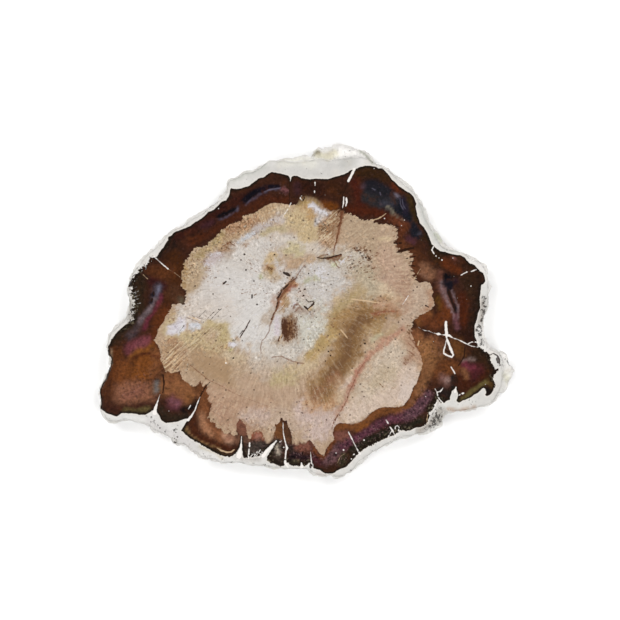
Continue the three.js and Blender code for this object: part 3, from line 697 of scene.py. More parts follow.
# How far the heartwood's edge frays into fibres, in pixels
FRAY_WASHES = (0.7, [
    (3.0, 9, 5, (392, 225), (398, 240), (404, 254), (411, 268), (418, 280)),
    (2.2, 9, 5, (350, 214), (378, 223)),
    (2.6, 8, 4, (412, 322), (412, 340), (416, 352)),
    (1.8, 8, 5, (188, 262), (184, 290), (166, 318)),
    (1.6, 8, 4, (205, 392), (212, 418), (235, 432), (262, 434), (285, 430), (300, 443)),
    (1.8, 8, 4, (245, 214), (225, 228), (205, 245)),
    (0.3, 9, 5, (345, 424), (365, 420), (392, 407), (408, 400), (418, 372)),
])

# How far the rind's inner edge frays into teeth, in pixels
TEETH_WASHES = (0.35, [
    (5.0, 7, 4, (150, 260), (136, 276), (131, 296), (132, 316)),
    (1.2, 6, 4, (112, 340), (109, 352)),
    (2.0, 6, 4, (443, 403), (431, 412), (427, 424)),
    (1.5, 6, 4, (484, 352), (492, 362), (495, 384)),
    (1.1, 7, 4, (250, 457), (280, 465), (300, 466)),
    (1.2, 7, 4, (352, 461), (374, 444), (400, 431)),
    (0.9, 7, 4, (190, 440), (230, 456)),
])

# How deeply the chalk is pitted with dark holes
PIT_WASHES = (0.12, [
    (1.15, 6, 4, (440, 414), (436, 421), (428, 429)),
    (1.4, 4, 3, (484, 298), (482, 318), (480, 328), (485, 342)),
    (0.65, 5, 3, (131, 280), (130, 300), (132, 316)),
    (1.2, 4, 3, (176, 432), (176, 441)),
    (0.9, 3, 3, (150, 416), (153, 424), (160, 429)),
    (0.5, 5, 4, (160, 428), (190, 446), (210, 456), (240, 463), (268, 466)),
    (0.7, 6, 4, (498, 356), (504, 362)),
    (0.4, 6, 4, (318, 153), (332, 150), (346, 149)),
    (1.2, 4, 3, (205, 210), (214, 204)),
    (0.4, 5, 3, (352, 466), (372, 455), (395, 444), (418, 434)),
    (0.5, 4, 3, (460, 402), (475, 403)),
    (0.5, 5, 4, (440, 240), (446, 246)),
])

# Colours of the chalk, both where it is cut and on the bark, with painted shade in two strokes on the
# bark's upper lobe.
CHALK_WASHES = ("#e0ddd8", [
    ("#b8b1a9", 3.5, 3, (481.5, 301), (481, 322), (484, 340)),
    ("#a8a29a", 3, 3, (131, 303), (131, 322)),
    ("#c4bdb6", 3, 3, (437, 402)),
    ("#aca49c", 4, 3, (437, 419), (420, 429)),
    ("#c4beb8", 4, 3, (258, 457), (238, 457)),
    ("#d0c8c2", 2.5, 2, (318, 473), (324, 476)),
    ("#d5d2cd", 8, 5, (262, 172), (300, 172), (345, 168)),
    ("#e6e3df", 8, 5, (345, 149), (362, 158)),
    ("#e5e2d8", 5, 4, (282, 162), (300, 160), (312, 164)),
    ("#cec8b4", 4, 3, (318, 154), (328, 156), (334, 153)),
    # painted shade in the crevices of the upper lobe
    ("#8e8670", 1.6, 1.4, (312.5, 154), (319, 151)),
    # painted shade on the upper lobe
    ("#cbc9c4", 5, 4, (344, 164), (352, 160)),
    ("#9c9c8c", 1.2, 1.4, (359, 149), (367, 155), (373, 163)),
    ("#c8c8c0", 4, 4, (232, 178), (246, 172), (262, 166)),
    ("#e8e6e2", 4, 3, (104, 410), (120, 418), (150, 420), (170, 430)),
    ("#e8e5e1", 6, 4, (205, 457), (235, 466), (270, 472)),
    ("#cfc5ae", 1.2, 1.6, (200, 446), (210, 450), (222, 457)),
    ("#dcd8d5", 4, 3, (150, 422), (176, 436), (195, 448)),
    ("#dad6c4", 3, 4, (506, 376), (509, 381)),
    ("#dad7d2", 6, 4, (480, 400), (500, 390)),
    ("#f0ece8", 5, 4, (472, 262), (483, 269), (490, 284)),
    ("#f0ece8", 6, 4, (484, 330), (490, 346), (502, 354)),
    ("#b6b0a8", 5, 4, (440, 412), (436, 420)),
    ("#c0ac9c", 1.8, 2, (448, 409), (460, 411), (474, 407)),
    ("#d2d2cc", 3, 3, (420, 205), (428, 225), (437, 240)),
    ("#c4c6b6", 2, 2, (436, 234), (441, 240)),
])

# Lines have points with a place and a half-width, in pixels. Dots are single points.
WHITE_VEINS = [
    [(153.5, 256, 0.6), (160, 262, 0.4), (168, 269, 0.6)], [(131.5, 289, 0.2), (136.5, 287, 0.1)],
    [(133, 293, 0.3), (138.5, 291, 0.1)], [(134, 297, 0.1), (140, 295, 0.1)],
    [(133, 301, 0.3), (139, 298.5, 0.1)], [(134, 304.5, 0.1), (141, 303, 0.1)],
    [(132, 308, 0.2), (137, 306, 0.1)], [(132.5, 312, 0.2), (137.5, 309.5, 0.1)],
    [(135.5, 290, 0.1), (136.5, 300, 0.1)], [(131.5, 315.5, 0.2), (135, 313, 0.1)],
    [(160, 394.5, 0.2), (157.5, 402, 0.7), (155.5, 408, 1.4), (154.5, 413, 2.2)],
    [(200, 397, 0.3), (197.5, 403, 0.5), (195, 410, 0.6), (191.5, 416, 1.0), (188, 420, 1.4)],
    [(188.5, 409, 0.5), (190.5, 405.5, 0.6)], [(291, 203, 0.5), (288, 209, 0.4), (283, 216.5, 0.2)],
    [(290.5, 177, 0.3), (290.3, 181, 0.2)], [(315, 182.5, 0.6), (315, 185.5, 0.5)],
    [(314.5, 190.8, 0.4), (314.5, 192.6, 0.4)], [(301.6, 196, 0.5), (300.2, 198, 0.6), (302, 200.3, 0.3)],
    [(354.4, 169, 1.3), (348.4, 181, 1.3)], [(343.8, 197, 0.5), (343.6, 203, 0.6), (342.3, 208, 0.3)],
    [(346.2, 198, 0.8), (346.8, 202, 0.9), (345.8, 206, 0.4)],
    [(348.5, 432, 0.6), (351, 437, 0.6), (354, 443, 0.5), (357, 449, 0.5), (360, 454, 0.8)],
    [(386, 420, 0.5), (388, 423, 0.9)], [(390, 427, 0.5), (393, 431, 0.8), (395.5, 437, 0.4)],
    [(391.5, 431, 0.4), (388, 437.5, 0.5)],
    [(395.2, 429, 0.5), (395.5, 426.5, 0.5), (397.5, 425.5, 0.5), (399, 427.5, 0.5), (398.5, 431, 0.6)],
    [(310.5, 452, 0.2), (311, 458, 0.5), (311.5, 463, 0.6)],
    [(308.2, 467.5, 0.3), (308.2, 464.6, 0.4), (310.5, 462.6, 0.5), (312.9, 464.6, 0.4),
        (312.8, 468, 0.3)],
    [(301.5, 462.5, 0.5), (301.5, 467, 1.8)],
    [(241.5, 436.5, 0.4), (241.3, 443, 0.7), (240.5, 449, 1.2), (239, 456, 2.8)],
    [(249.5, 443, 0.8), (249.5, 446.5, 0.8)], [(249, 449, 0.6), (248.5, 458, 0.8)],
    [(250.5, 457, 0.4), (254, 452.5, 0.3)], [(253, 458, 0.4), (257.5, 451, 0.3)],
    [(256, 456.5, 0.4), (260.5, 449.5, 0.3)], [(259, 457.5, 0.5), (262.5, 452, 0.5)],
    [(251.5, 453.5, 0.3), (256, 455, 0.3)], [(256.5, 452.5, 0.3), (261, 454, 0.4)],
    [(276.5, 440.5, 0.4), (271.5, 446, 1.2), (267, 450.5, 1.5), (263, 456, 1.9)],
    [(283, 423, 0.4), (283.3, 432, 0.4), (284.3, 438, 0.6), (286, 445, 0.7), (287, 448, 1.3),
        (286, 451, 0.8), (285.3, 458, 0.7), (285, 463, 1.2), (288, 467, 0.9)],
    [(278.5, 440.5, 0.4), (280, 442, 0.6), (281.5, 440.7, 0.4)],
    [(417, 326, 0.1), (421, 329, 0.1), (425, 330.5, 0.2), (429, 331, 0.4), (432, 332.5, 0.3),
        (436, 333.7, 0.3), (438.5, 334, 1.5), (441, 334.6, 0.3), (444.5, 335, 0.6), (449, 335.5, 1.2),
        (453, 338, 0.5), (458, 339.5, 0.4), (463, 342, 0.6), (468, 344.5, 0.5), (472, 346.3, 0.4),
        (478, 347, 0.4)],
    [(468, 343.7, 0.5), (472, 342, 0.5), (478, 342, 0.6)],
    [(445.8, 322, 1.2), (446, 328, 1.3), (446.5, 333, 1.6), (446.5, 338, 0.8)],
    [(446.8, 338.5, 0.5), (445.6, 344, 0.5), (443.8, 350.5, 0.7), (443.8, 353.4, 0.8),
        (447.5, 355.6, 0.9), (451.8, 357.2, 0.8), (453.2, 355, 0.9), (451, 349.5, 1.3),
        (448.6, 343.5, 1.2), (446.8, 338.5, 0.8)],
    [(433.5, 246.5, 0.6), (431.8, 250, 0.6), (434, 253.5, 0.7)], [(461, 275, 0.6), (467, 272, 0.6)],
    [(471, 271.5, 0.5), (476, 269.7, 0.5)], [(451, 367, 0.5), (453, 370, 0.7), (455, 373.5, 0.5)],
    [(456, 387, 0.5), (455, 392, 1.0)],
    [(435, 389, 0.4), (437, 392, 0.5), (438, 397, 0.5), (440, 400, 0.5), (443, 403, 0.6)],
    [(437, 392, 0.5), (440.5, 391.5, 0.6), (443, 388, 0.3)], [(437, 402, 0.4), (433, 410, 0.5)],
    [(439.5, 404, 0.4), (435, 412, 0.5)], [(459, 395, 0.5), (463.5, 393.2, 0.9)],
    [(402.5, 304.5, 0.2), (406, 299.5, 0.5), (408.6, 295.5, 0.3)],
    [(281.5, 308, 0.1), (286, 302, 0.1), (289.5, 296.5, 0.1)],
]
WHITE_DOTS = [
    (436, 256, 0.7), (439, 258, 0.4), (442, 260, 0.7), (468.7, 271.6, 0.3), (218.5, 208.5, 0.7),
    (325, 195, 0.2), (374, 168.5, 0.5), (384.5, 218.5, 0.8), (404.5, 220, 0.6), (401.5, 225.5, 0.4),
    (421.5, 240, 0.2), (453, 258, 0.5), (454, 276.5, 0.1), (471, 286, 0.6), (468.5, 284.5, 0.2),
    (425.5, 396.5, 0.5), (485.5, 384.5, 0.4), (364, 440, 0.9), (343.5, 450, 0.9), (336, 453, 0.5),
    (351.5, 459, 0.8), (354, 454.5, 0.9), (299, 454, 0.4), (169, 411, 0.4), (179, 414, 0.2),
    (457.5, 298, 0.3), (466.5, 299.5, 0.1), (436, 321, 0.2), (433.5, 341.5, 0.3), (336, 246, 0.5),
    (226, 363, 0.9), (283.7, 447.3, 0.8),
]

TAN_LINES = [
    [(168, 269, 0.2), (175, 273, 0.2), (180, 277, 0.3)], [(143, 274.6, 0.4), (147.7, 279, 0.4)],
    [(217, 448, 0.3), (221, 450.4, 0.8), (227, 452.3, 0.9), (231, 452, 0.7), (234, 449.8, 0.6)],
    [(345.6, 453, 0.1), (340.3, 456.5, 0.3), (337.6, 462.7, 0.2)],
    [(372, 220.7, 0.5), (378, 218.7, 0.7), (382, 216.5, 0.6), (386, 213.5, 0.4)],
    [(421, 268, 0.1), (416, 276, 0.3), (412, 283, 0.2), (408, 291, 0.2)],
    [(341, 330, 0.6), (347.5, 338, 0.6)], [(351, 299, 0.5), (364, 300.5, 0.8), (379, 303, 0.4)],
    [(428, 412, 0.2), (427, 420, 0.4), (427, 424, 0.2)], [(279.5, 340, 0.5), (282, 334, 0.5)],
    [(189, 316.4, 0.3), (194, 318.2, 0.8), (200, 320.8, 0.5)],
    [(164, 363, 0.3), (171, 356, 0.5), (180, 348, 0.2)],
    [(163, 358.5, 0.2), (170, 352, 0.4), (176, 346, 0.1)],
    [(166, 367, 0.4), (173, 360.5, 0.6), (181, 352, 0.3), (191, 343, 0.1)],
    [(168.5, 370.5, 0.3), (176, 363.5, 0.6), (184, 355.5, 0.2)],
    [(173, 372.5, 0.3), (178, 367, 0.5), (182.5, 362, 0.3)],
    [(161.5, 341.5, 0.2), (166, 339, 0.4), (169, 336.5, 0.1)], [(226, 362.5, 1.0), (225, 357, 0.5)],
    [(309, 309.5, 0.9), (312.5, 306.5, 0.6)], [(418, 345, 0.8), (419, 341, 0.5)],
]

DARK_LINES = [
    [(289.6, 181, 0.4), (289.6, 205, 0.4)],
    [(348, 182, 0.5), (345, 190, 0.5), (342.3, 195, 0.6), (341.6, 201, 0.6), (341.8, 210, 0.5)],
    [(348.6, 197, 0.5), (348.8, 204, 0.5)], [(303.5, 196, 0.6), (304.5, 198, 0.7), (303, 200.5, 0.6)],
    [(317, 257.6, 0.3), (322, 258.5, 0.5), (328, 257.9, 0.7), (335, 256, 0.6), (341, 254.2, 0.4)],
    [(296.5, 277.6, 0.3), (291, 282, 0.3)], [(288.5, 284, 0.5), (286, 286.5, 0.8), (283.5, 289, 0.5)],
    [(281.5, 291.6, 0.5), (278.6, 297, 0.9)], [(277.6, 302, 0.5), (276.2, 307, 0.3), (275, 311, 0.1)],
    [(153.6, 291.4, 0.5), (153.9, 294.4, 0.7)], [(152.2, 299, 0.8), (151, 302, 0.6)],
    [(432, 424, 0.1), (437, 412, 0.3)], [(435, 426, 0.1), (440, 415, 0.4)],
    [(431, 417, 0.1), (434, 411, 0.2)], [(438, 424.5, 0.1), (442, 418, 0.4)],
    [(442, 410, 0.1), (438, 407, 0.2)], [(284, 272.8, 1.1), (287, 274, 1.6), (289.5, 275.3, 1.1)],
    [(304.5, 306.5, 0.8), (308, 309.4, 1.0), (311, 306.5, 0.9), (314, 302.5, 0.6)],
    [(306, 299.5, 0.4), (308.5, 302, 0.6), (313.5, 301, 0.5)], [(224, 283.5, 1.0), (226, 281.5, 0.6)],
    [(252, 295, 0.8), (252, 298, 0.7)], [(425.5, 305.5, 0.6), (428.5, 307, 0.5)],
    [(250, 320, 0.3), (246, 328, 0.4), (240, 337.5, 0.3)], [(206, 320, 0.1), (214, 312, 0.2)],
    [(209.5, 321, 0.1), (220, 309.5, 0.2)], [(217, 313, 0.1), (221.5, 308.5, 0.2)],
    [(234, 341, 0.1), (243, 330.5, 0.2)], [(199, 317, 0.1), (206, 310, 0.1)],
    [(180, 331, 0.1), (184, 325.5, 0.3)], [(413, 248, 1.0), (405, 249.8, 1.4), (397, 252.3, 0.6)],
    [(401, 243, 1.0), (394, 243.5, 0.5)], [(415, 256.5, 0.7), (406, 258.5, 0.4)],
    [(414, 261, 0.7), (409, 262, 0.4)], [(415, 266, 0.6), (409, 265.5, 0.3)],
    [(416, 271, 0.5), (411, 270.5, 0.3)], [(440.5, 336.5, 0.7), (444.5, 338.5, 0.5)],
    [(471, 343.6, 0.6), (476.5, 344.6, 1.2)],
    [(465, 347, 0.6), (464.3, 355.6, 0.6), (461.2, 361.7, 0.6), (458, 366, 0.4)],
    [(163, 374.6, 0.7), (164, 383.6, 0.7), (162.8, 393, 0.5)],
    [(455.5, 374, 0.4), (457, 379, 0.6), (457.5, 383, 0.5)],
    [(200.5, 396, 0.7), (203, 391, 0.7), (206, 386, 0.6), (210, 382, 0.4)],
    [(199.5, 399, 0.9), (196, 409, 0.9)], [(310.6, 464.9, 0.9), (310.4, 467.3, 1.0)],
    [(174, 443, 0.8), (177, 442.5, 0.6)],
    [(490, 355, 0.3), (493.5, 353.4, 0.5), (497.2, 355.5, 0.6), (499.2, 359.5, 1.1), (499.4, 364, 0.6)],
    [(496.5, 358.5, 0.6), (497.6, 362.5, 0.7)],
    [(505.5, 358.5, 0.5), (508, 361.5, 0.9), (510.5, 365, 0.6)],
    [(446, 350.5, 0.8), (448.5, 352.2, 1.0), (450.5, 354, 0.6)],
    [(448.5, 292, 0.9), (450.9, 299.4, 0.6), (454, 306.4, 0.9), (455.2, 311.5, 0.5)],
]
DARK_DOTS = [
    (272.6, 315.4, 0.4), (271, 319.4, 0.3), (296, 285, 0.5), (299, 288.6, 0.6), (305, 289.4, 0.8),
    (303.6, 295.6, 0.8), (300.6, 291.6, 0.5), (298, 298.6, 0.4), (308.6, 273.4, 0.6), (328, 274.4, 0.6),
    (312, 275.6, 0.4), (273, 290.4, 0.5), (263.6, 290.6, 0.5), (270, 284, 0.4), (328.5, 351.5, 0.7),
    (330.5, 355.5, 0.7), (325.5, 361, 0.6), (244.5, 254.5, 1.0), (274.5, 254.5, 0.7), (246, 270, 0.9),
    (262, 229, 0.5), (213, 294, 0.8), (257, 304.5, 0.8), (254, 281, 0.6), (195, 286, 0.7),
    (168, 319, 0.8), (233.5, 358, 0.9), (229, 383, 0.6), (365, 343.5, 1.0), (417, 287, 0.7),
    (402, 330, 0.6), (409, 330, 0.6), (218.5, 309.5, 0.6), (357, 248, 0.6), (358.5, 251, 0.7),
    (360, 253, 0.8), (362, 256, 0.8), (364, 255, 0.5), (363, 258, 0.6), (366, 257.5, 0.9),
    (369, 258.5, 1.0), (367, 254, 0.5), (370, 250.5, 0.5), (355, 250, 0.5), (352, 264, 0.5),
    (354, 267, 0.5), (358, 265, 0.5), (369, 266, 0.5), (371, 270, 0.5), (372, 273, 0.5), (357, 271, 0.6),
    (361, 273, 0.4), (273, 445.5, 0.6), (439.3, 337, 0.4), (151, 417, 0.7), (151, 422, 0.6),
    (157, 429.5, 0.6), (160, 428, 0.6), (176, 432.5, 0.5), (177.5, 437, 0.7), (174.5, 438.5, 0.6),
    (176.5, 440, 0.5), (189, 447, 0.6), (483, 303, 0.9), (484, 306, 0.8), (483.3, 311, 0.9),
    (482, 316, 1.0), (484, 318, 0.8), (481, 321, 0.8), (479.5, 327, 0.5), (478.8, 331, 0.5),
    (485, 342, 0.7), (436, 413, 0.9), (440, 415, 0.9), (433, 418, 0.7), (438, 420, 0.8),
    (441, 421.5, 0.8), (434, 424, 0.8), (434, 427.5, 0.6), (431, 421, 0.5),
]

UMBER_LINES = [
    [(190, 365, 0.2), (197.5, 371, 0.4), (204.3, 376.5, 0.5), (208.5, 380, 0.3), (221, 385.8, 0.1),
        (231.5, 392, 0.1), (245.5, 398, 0.0), (263, 404.6, 0.0), (276, 408.5, -0.1), (300, 411, -0.3)],
    [(342.2, 212, 1.5), (341, 220, 1.0), (339.5, 228, 0.8), (338, 235, 0.6), (336, 242, 0.5),
        (334.3, 249, 0.4), (333.5, 254, 0.4)],
    [(366, 360, 0.0), (358, 372, 0.0), (352, 387, 0.2), (349, 392, 0.2), (347, 400, 0.2),
        (344, 406, 0.2), (340, 412, 0.1), (336, 418, 0.2), (333, 423, 0.3), (332, 429, 0.4)],
    [(374, 314, 0.5), (384, 311, 0.4), (392, 312, 0.3)],
    [(162.5, 361, 0.1), (170, 354, 0.3), (179, 346, 0.1)],
    [(165, 365.4, 0.1), (172, 358.6, 0.3), (183, 348.4, 0.1)],
    [(167.5, 369, 0.1), (175, 362, 0.3), (186, 351.6, 0.1)],
    [(171, 372, 0.1), (178, 365, 0.3), (184, 358.6, 0.1)],
    [(186, 317, 0.1), (192, 319.4, 0.2), (199, 322.6, 0.1)], [(190, 314.8, 0.1), (201, 318.8, 0.2)],
    [(208, 399, 0.1), (211.6, 405, 0.2), (210.4, 411, 0.1)],
    [(216, 424.6, 0.1), (220, 424, 0.2), (222.4, 427, 0.2)],
    [(225, 430, 0.1), (229, 429, 0.2), (231, 432, 0.1)], [(223, 246, 0.5), (230, 242, 0.5)],
    [(197, 385, 0.3), (200.5, 381, 0.5)], [(199.3, 387.5, 0.3), (203, 382.5, 0.5)],
    [(201.5, 390, 0.4), (206, 384.5, 0.5)], [(203.5, 392, 0.3), (208, 387, 0.4)],
    [(148, 372, 0.2), (156, 366.5, 0.4), (162, 363, 0.5)],
    [(152, 377, 0.2), (158, 372, 0.4), (163, 368, 0.4)],
    [(409, 337, 0.5), (415, 344, 0.8), (420, 352, 0.6)], [(407, 350, 0.3), (414, 355, 0.7)],
    [(411, 329, 0.4), (417, 338, 0.6)], [(408, 343, 0.3), (414, 348, 0.6)],
    [(317, 257.6, 0.3), (322, 255.8, 0.5), (328, 254.2, 0.6)],
    [(334, 260.5, 0.5), (337, 266, 0.6), (339, 267.5, 0.5)],
    [(341.5, 254.4, 0.5), (338, 259.5, 0.9), (333, 259.8, 0.9)],
    [(297.5, 275, 0.4), (301, 269.5, 0.4), (305, 265, 0.3)],
    [(297, 277.5, 0.7), (291.5, 283, 1.3), (287, 288, 1.7), (282.5, 293.5, 1.8), (279.5, 299, 1.6),
        (278, 305, 1.2), (276, 311, 0.8)],
    [(275.5, 311, 0.4), (273, 318, 0.6), (270, 325, 0.5), (269.4, 331, 0.4), (265, 338, 0.4),
        (262, 341, 0.3), (260.6, 347, 0.5), (261, 353, 0.4)],
    [(293.5, 308.5, 0.8), (294.5, 305, 0.9), (297.5, 303.8, 0.9), (299, 305, 0.7)],
    [(296, 311, 0.7), (297.5, 308, 0.8), (300.5, 307.5, 0.9), (302, 309.5, 0.7)],
    [(298, 292.5, 0.4), (300.5, 290.5, 0.4)], [(303.5, 289.5, 0.5), (305.5, 288.5, 0.4)],
    [(302, 296.5, 0.5), (303.8, 295.2, 0.3)], [(326, 258.4, 0.6), (333, 257.6, 1.1), (340, 255, 0.5)],
    [(250, 320, 0.3), (246, 328, 0.5), (240, 337.5, 0.3)],
    [(272, 357.4, 0.5), (277, 356.4, 0.4), (282, 356.4, 0.4), (287, 359, 0.5), (293, 361.5, 0.5),
        (300, 363, 0.5), (304, 363.5, 0.4)],
    [(448, 409.5, 0.2), (452, 410.6, 0.4)], [(460, 410.8, 0.3), (466, 410, 0.5)],
    [(280, 311, 0.1), (286, 303.5, 0.2)], [(284, 312, 0.1), (289, 305, 0.1)],
    [(283, 299, 0.2), (288, 293.5, 0.2)],
    [(253, 435.5, 0.5), (254.5, 432, 0.6), (258.5, 430.8, 0.7), (262, 433.5, 0.7), (264, 439.5, 0.6)],
]
UMBER_DOTS = [
    (334.2, 318.5, 0.9), (331.4, 325, 1.0), (333.2, 327, 0.7), (329.6, 316.8, 0.6), (336, 314, 0.5),
    (456, 411, 0.6), (471, 409, 0.4),
]

LILAC_LINES = [
    [(400, 198.5, 0.3), (400.6, 204.5, 0.4), (403.4, 209.8, 0.3)],
    [(402.2, 199.5, 0.3), (402.8, 204.5, 0.4), (405.4, 208.8, 0.3)],
    [(372, 188.2, 0.4), (375, 190, 0.4)], [(380, 192.5, 0.4), (380.7, 195, 0.3)],
    [(395, 194.5, 0.5), (398, 197, 0.5)],
    [(264, 192, 0.3), (270, 189.6, 0.6), (273.5, 189, 0.6), (280.5, 187.8, 0.4)],
    [(158.6, 288.6, 0.8), (158.8, 290.6, 0.8)],
]

# Crisp markings in the order that they are laid in: lines, dots, colour, how much it covers, and
# the distances between which the edge fades, in pixels
CRISP_MARKINGS = {
    "umber": (UMBER_LINES, UMBER_DOTS, "#74462e", 0.68, -0.4, 0.6),
    "dark": (DARK_LINES, DARK_DOTS, "#2a170d", 0.96, -0.25, 0.4),
    "tan": (TAN_LINES, [], "#dcbd98", 0.75, -0.4, 0.3),
    "lilac": (LILAC_LINES, [], "#767082", 0.38, -0.4, 0.6),
    "white": (WHITE_VEINS, WHITE_DOTS, "#fbf5ef", 0.96, -0.45, 0.25),
}


def photo_places(spots):
    """Where places on the slice, in metres, lie in the photograph, in pixels."""
    across = spots[:, 0] / PIXEL + ORIGIN_PIXEL[0]
    down = ORIGIN_PIXEL[1] - spots[:, 1] / PIXEL
    return np.column_stack([across, down])


def closed(outline):
    """The points of an outline, with the first one again at the end."""
    return outline + outline[:1]


def path_distance(spots, path):
    """Distance of each spot from a path, less the path's half-width there where it has one."""
    nearest = np.full(len(spots), np.inf)
    for start, end in zip(path, path[1:] or path):
        first, last = np.array(start[:2]), np.array(end[:2])
        run = last - first
        along = (spots - first) @ run / max(run @ run, 1e-9)
        along = np.clip(along, 0, 1)
        gap = np.linalg.norm(spots - first - along[:, None] * run, axis=1)
        if len(start) > 2:
            gap = gap - (start[2] + along * (end[2] - start[2]))
        nearest = np.minimum(nearest, gap)
    return nearest


def inside(spots, sides):
    """Which spots lie inside a closed outline, given as the two ends of each of its sides."""
    within = np.zeros(len(spots), bool)
    for (x0, y0), (x1, y1) in sides:
        if y0 == y1:
            continue
        crosses = (spots[:, 1] > y0) != (spots[:, 1] > y1)
        within ^= crosses & (spots[:, 0] < x0 + (spots[:, 1] - y0) * (x1 - x0) / (y1 - y0))
    return within


def depth_inside(spots, outline):
    """Distance from a closed outline, above zero inside it."""
    path = closed(outline)
    return path_distance(spots, path) * np.where(inside(spots, zip(path, path[1:])), 1, -1)


def brush(spots, radius, softness, path, fray):
    """How much a soft brush of some radius, drawn along a path, covers each spot."""
    reach = (radius + softness - path_distance(spots, path)) / (2 * softness)
    reach = np.clip(reach + fray * np.clip(reach * 2, 0, 1), 0, 1)
    return reach * reach * (3 - 2 * reach)


def wander(spots, size, amount):
    """Shift of each spot by smooth noise, which makes brush strokes look grown."""
    shifts = [noise.noise_vector(Vector((x / size, y / size, size)))[:2] for x, y in spots]
    return np.array(shifts) * amount


def tatter(spots, layer):
    """Fine noise that frays the edge of a brush stroke."""
    places = (Vector((x / FRAY_SIZE, y / FRAY_SIZE, layer)) for x, y in spots)
    waves = [noise.fractal(place, *FRAY_ROUGHNESS) for place in places]
    return np.array(waves) * FRAY_AMOUNT


def laid(spots, washes, frays, shown=1.0):
    """Soft colours, or else amounts, laid one over the other on a base where they are shown."""
    base, strokes = washes
    value = linear if isinstance(base, str) else float
    bare = np.array(value(base))
    layer = np.tile(bare, (len(spots), 1))
    for number, (mark, radius, softness, *path) in enumerate(strokes):
        cover = brush(spots, radius, softness, path, frays[number % len(frays)])[:, None]
        layer += (np.array(value(mark)) - layer) * cover
    return bare + (layer - bare) * shown


def crisp_lines(name):
    """The lines of one of the crisp markings. A dot is a line with a single point."""
    lines, dots = CRISP_MARKINGS[name][:2]
    return lines + [[dot] for dot in dots]


def lines_distance(spots, lines):
    """Distance from the nearest edge of a set of lines, below zero on them."""
    return np.min([path_distance(spots, line) for line in lines], axis=0)


def select_only(*things):
    """Leaves just these objects selected, the first of them active."""
    for other in list(bpy.context.selected_objects):
        other.select_set(False)
    for thing in things:
        thing.select_set(True)
    bpy.context.view_layer.objects.active = things[0]


@contextmanager
def editing(thing, kind, chosen):
    """Edit mode, with the vertices, edges or faces of a mesh selected that a mask chooses."""
    mesh = thing.data
    groups = {"VERT": mesh.vertices, "EDGE": mesh.edges, "FACE": mesh.polygons}
    for group in groups.values():
        group.foreach_set("select", np.zeros(len(group), bool))
    groups[kind].foreach_set("select", chosen)
    bpy.ops.object.mode_set(mode="EDIT")
    bpy.ops.mesh.select_mode(type=kind)
    yield
    bpy.ops.object.mode_set(mode="OBJECT")


def weld(thing, reach):
    """Makes one of the vertices of a mesh that lie within reach of each other."""
    with editing(thing, "VERT", np.ones(len(thing.data.vertices), bool)):
        bpy.ops.mesh.remove_doubles(threshold=reach)


def rows(group, name, width=3, kind=float):
    """One property of each vertex, edge, face or corner of a mesh, as rows of numbers."""
    flat = np.empty(len(group) * width, kind)
    group.foreach_get(name, flat)
    return flat.reshape(-1, width)


def vertex_spots(mesh):
    """Place of each vertex."""
    return rows(mesh.vertices, "co")


def edge_ends(mesh):
    """The two vertices of each edge."""
    return rows(mesh.edges, "vertices", 2, int)


def face_middles(mesh):
    """Middle of each face."""
    return rows(mesh.polygons, "center")


def face_normals(mesh):
    """Direction that each face looks in."""
    return rows(mesh.polygons, "normal")


def open_edges(mesh):
    """Which edges have a face on one side only."""
    sides = rows(mesh.loops, "edge_index", 1, int).ravel()
    return np.bincount(sides, minlength=len(mesh.edges)) == 1


def relief(thing, name, kind, size, depth, group, settings):
    """Presses a procedural relief into a mesh along its normals."""
    pattern = bpy.data.textures.new(name, kind)
    pattern.noise_scale = size
    for setting, value in settings.items():
        setattr(pattern, setting, value)
    press = thing.modifiers.new(name, "DISPLACE")
    press.texture = pattern
    press.texture_coords = "LOCAL"
    press.strength = depth
    press.mid_level = RELIEF_MIDDLE
    press.vertex_group = group
    bpy.ops.object.modifier_apply(modifier=name)


def opened_side():
    """The CAD solid without its two flat faces, its side split into finer four-sided faces."""
    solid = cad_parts[STONE_NODE]
    side = bpy.data.objects.new("petrified_wood_stone", solid.data.copy())
    bpy.context.scene.collection.objects.link(side)
    side.data.materials.clear()
    select_only(side)
    weld(side, SOLID_SLACK)
    heights = face_middles(side.data)[:, 2]
    flat = np.abs(face_normals(side.data)[:, 2]) > LEVEL_NORMAL
    at_ends = (heights > FACE_LEVEL - SOLID_SLACK) | (heights < SOLID_SLACK)
    with editing(side, "FACE", flat & at_ends):
        bpy.ops.mesh.delete(type="FACE")
        bpy.ops.mesh.select_all(action="SELECT")
        bpy.ops.mesh.tris_convert_to_quads(face_threshold=math.pi, shape_threshold=math.pi)
    heights = vertex_spots(side.data)[edge_ends(side.data), 2]
    with editing(side, "EDGE", np.abs(heights[:, 0] - heights[:, 1]) < SOLID_SLACK):
        bpy.ops.mesh.subdivide(number_cuts=1)
    finer = side.modifiers.new("finer", "SUBSURF")
    finer.subdivision_type = "SIMPLE"
    finer.levels = finer.render_levels = 1
    bpy.ops.object.modifier_apply(modifier="finer")
    return side


def natural_side():
    """The rough side, with relief that stays shallow towards the face and the base."""
    side = opened_side()
    still, outward = vertex_spots(side.data), rows(side.data.vertices, "normal")
    keep(side.data, "upward", outward[:, 2])
    below_face = (FACE_LEVEL - still[:, 2]) / FACE_MARGIN
    above_base = np.clip(still[:, 2] / BASE_MARGIN, LEAST_BY_BASE, 1)
    for name, least in LEAST_BY_FACE.items():
        group = side.vertex_groups.new(name=name)
        weights = np.clip(below_face, least, 1) * above_base
        for index, weight in enumerate(weights):
            group.add([index], float(weight), "REPLACE")
    for name, settings in SIDE_RELIEF.items():
        relief(side, name, *settings)
    # How far the relief raised each vertex, which the bark's material uses for painted light on ridges
    # and painted shade in recesses.
    rise = ((vertex_spots(side.data) - still) * outward).sum(axis=1)
    keep(side.data, "rise", (rise - rise.mean()) / rise.std())
    side.vertex_groups.clear()
    return side


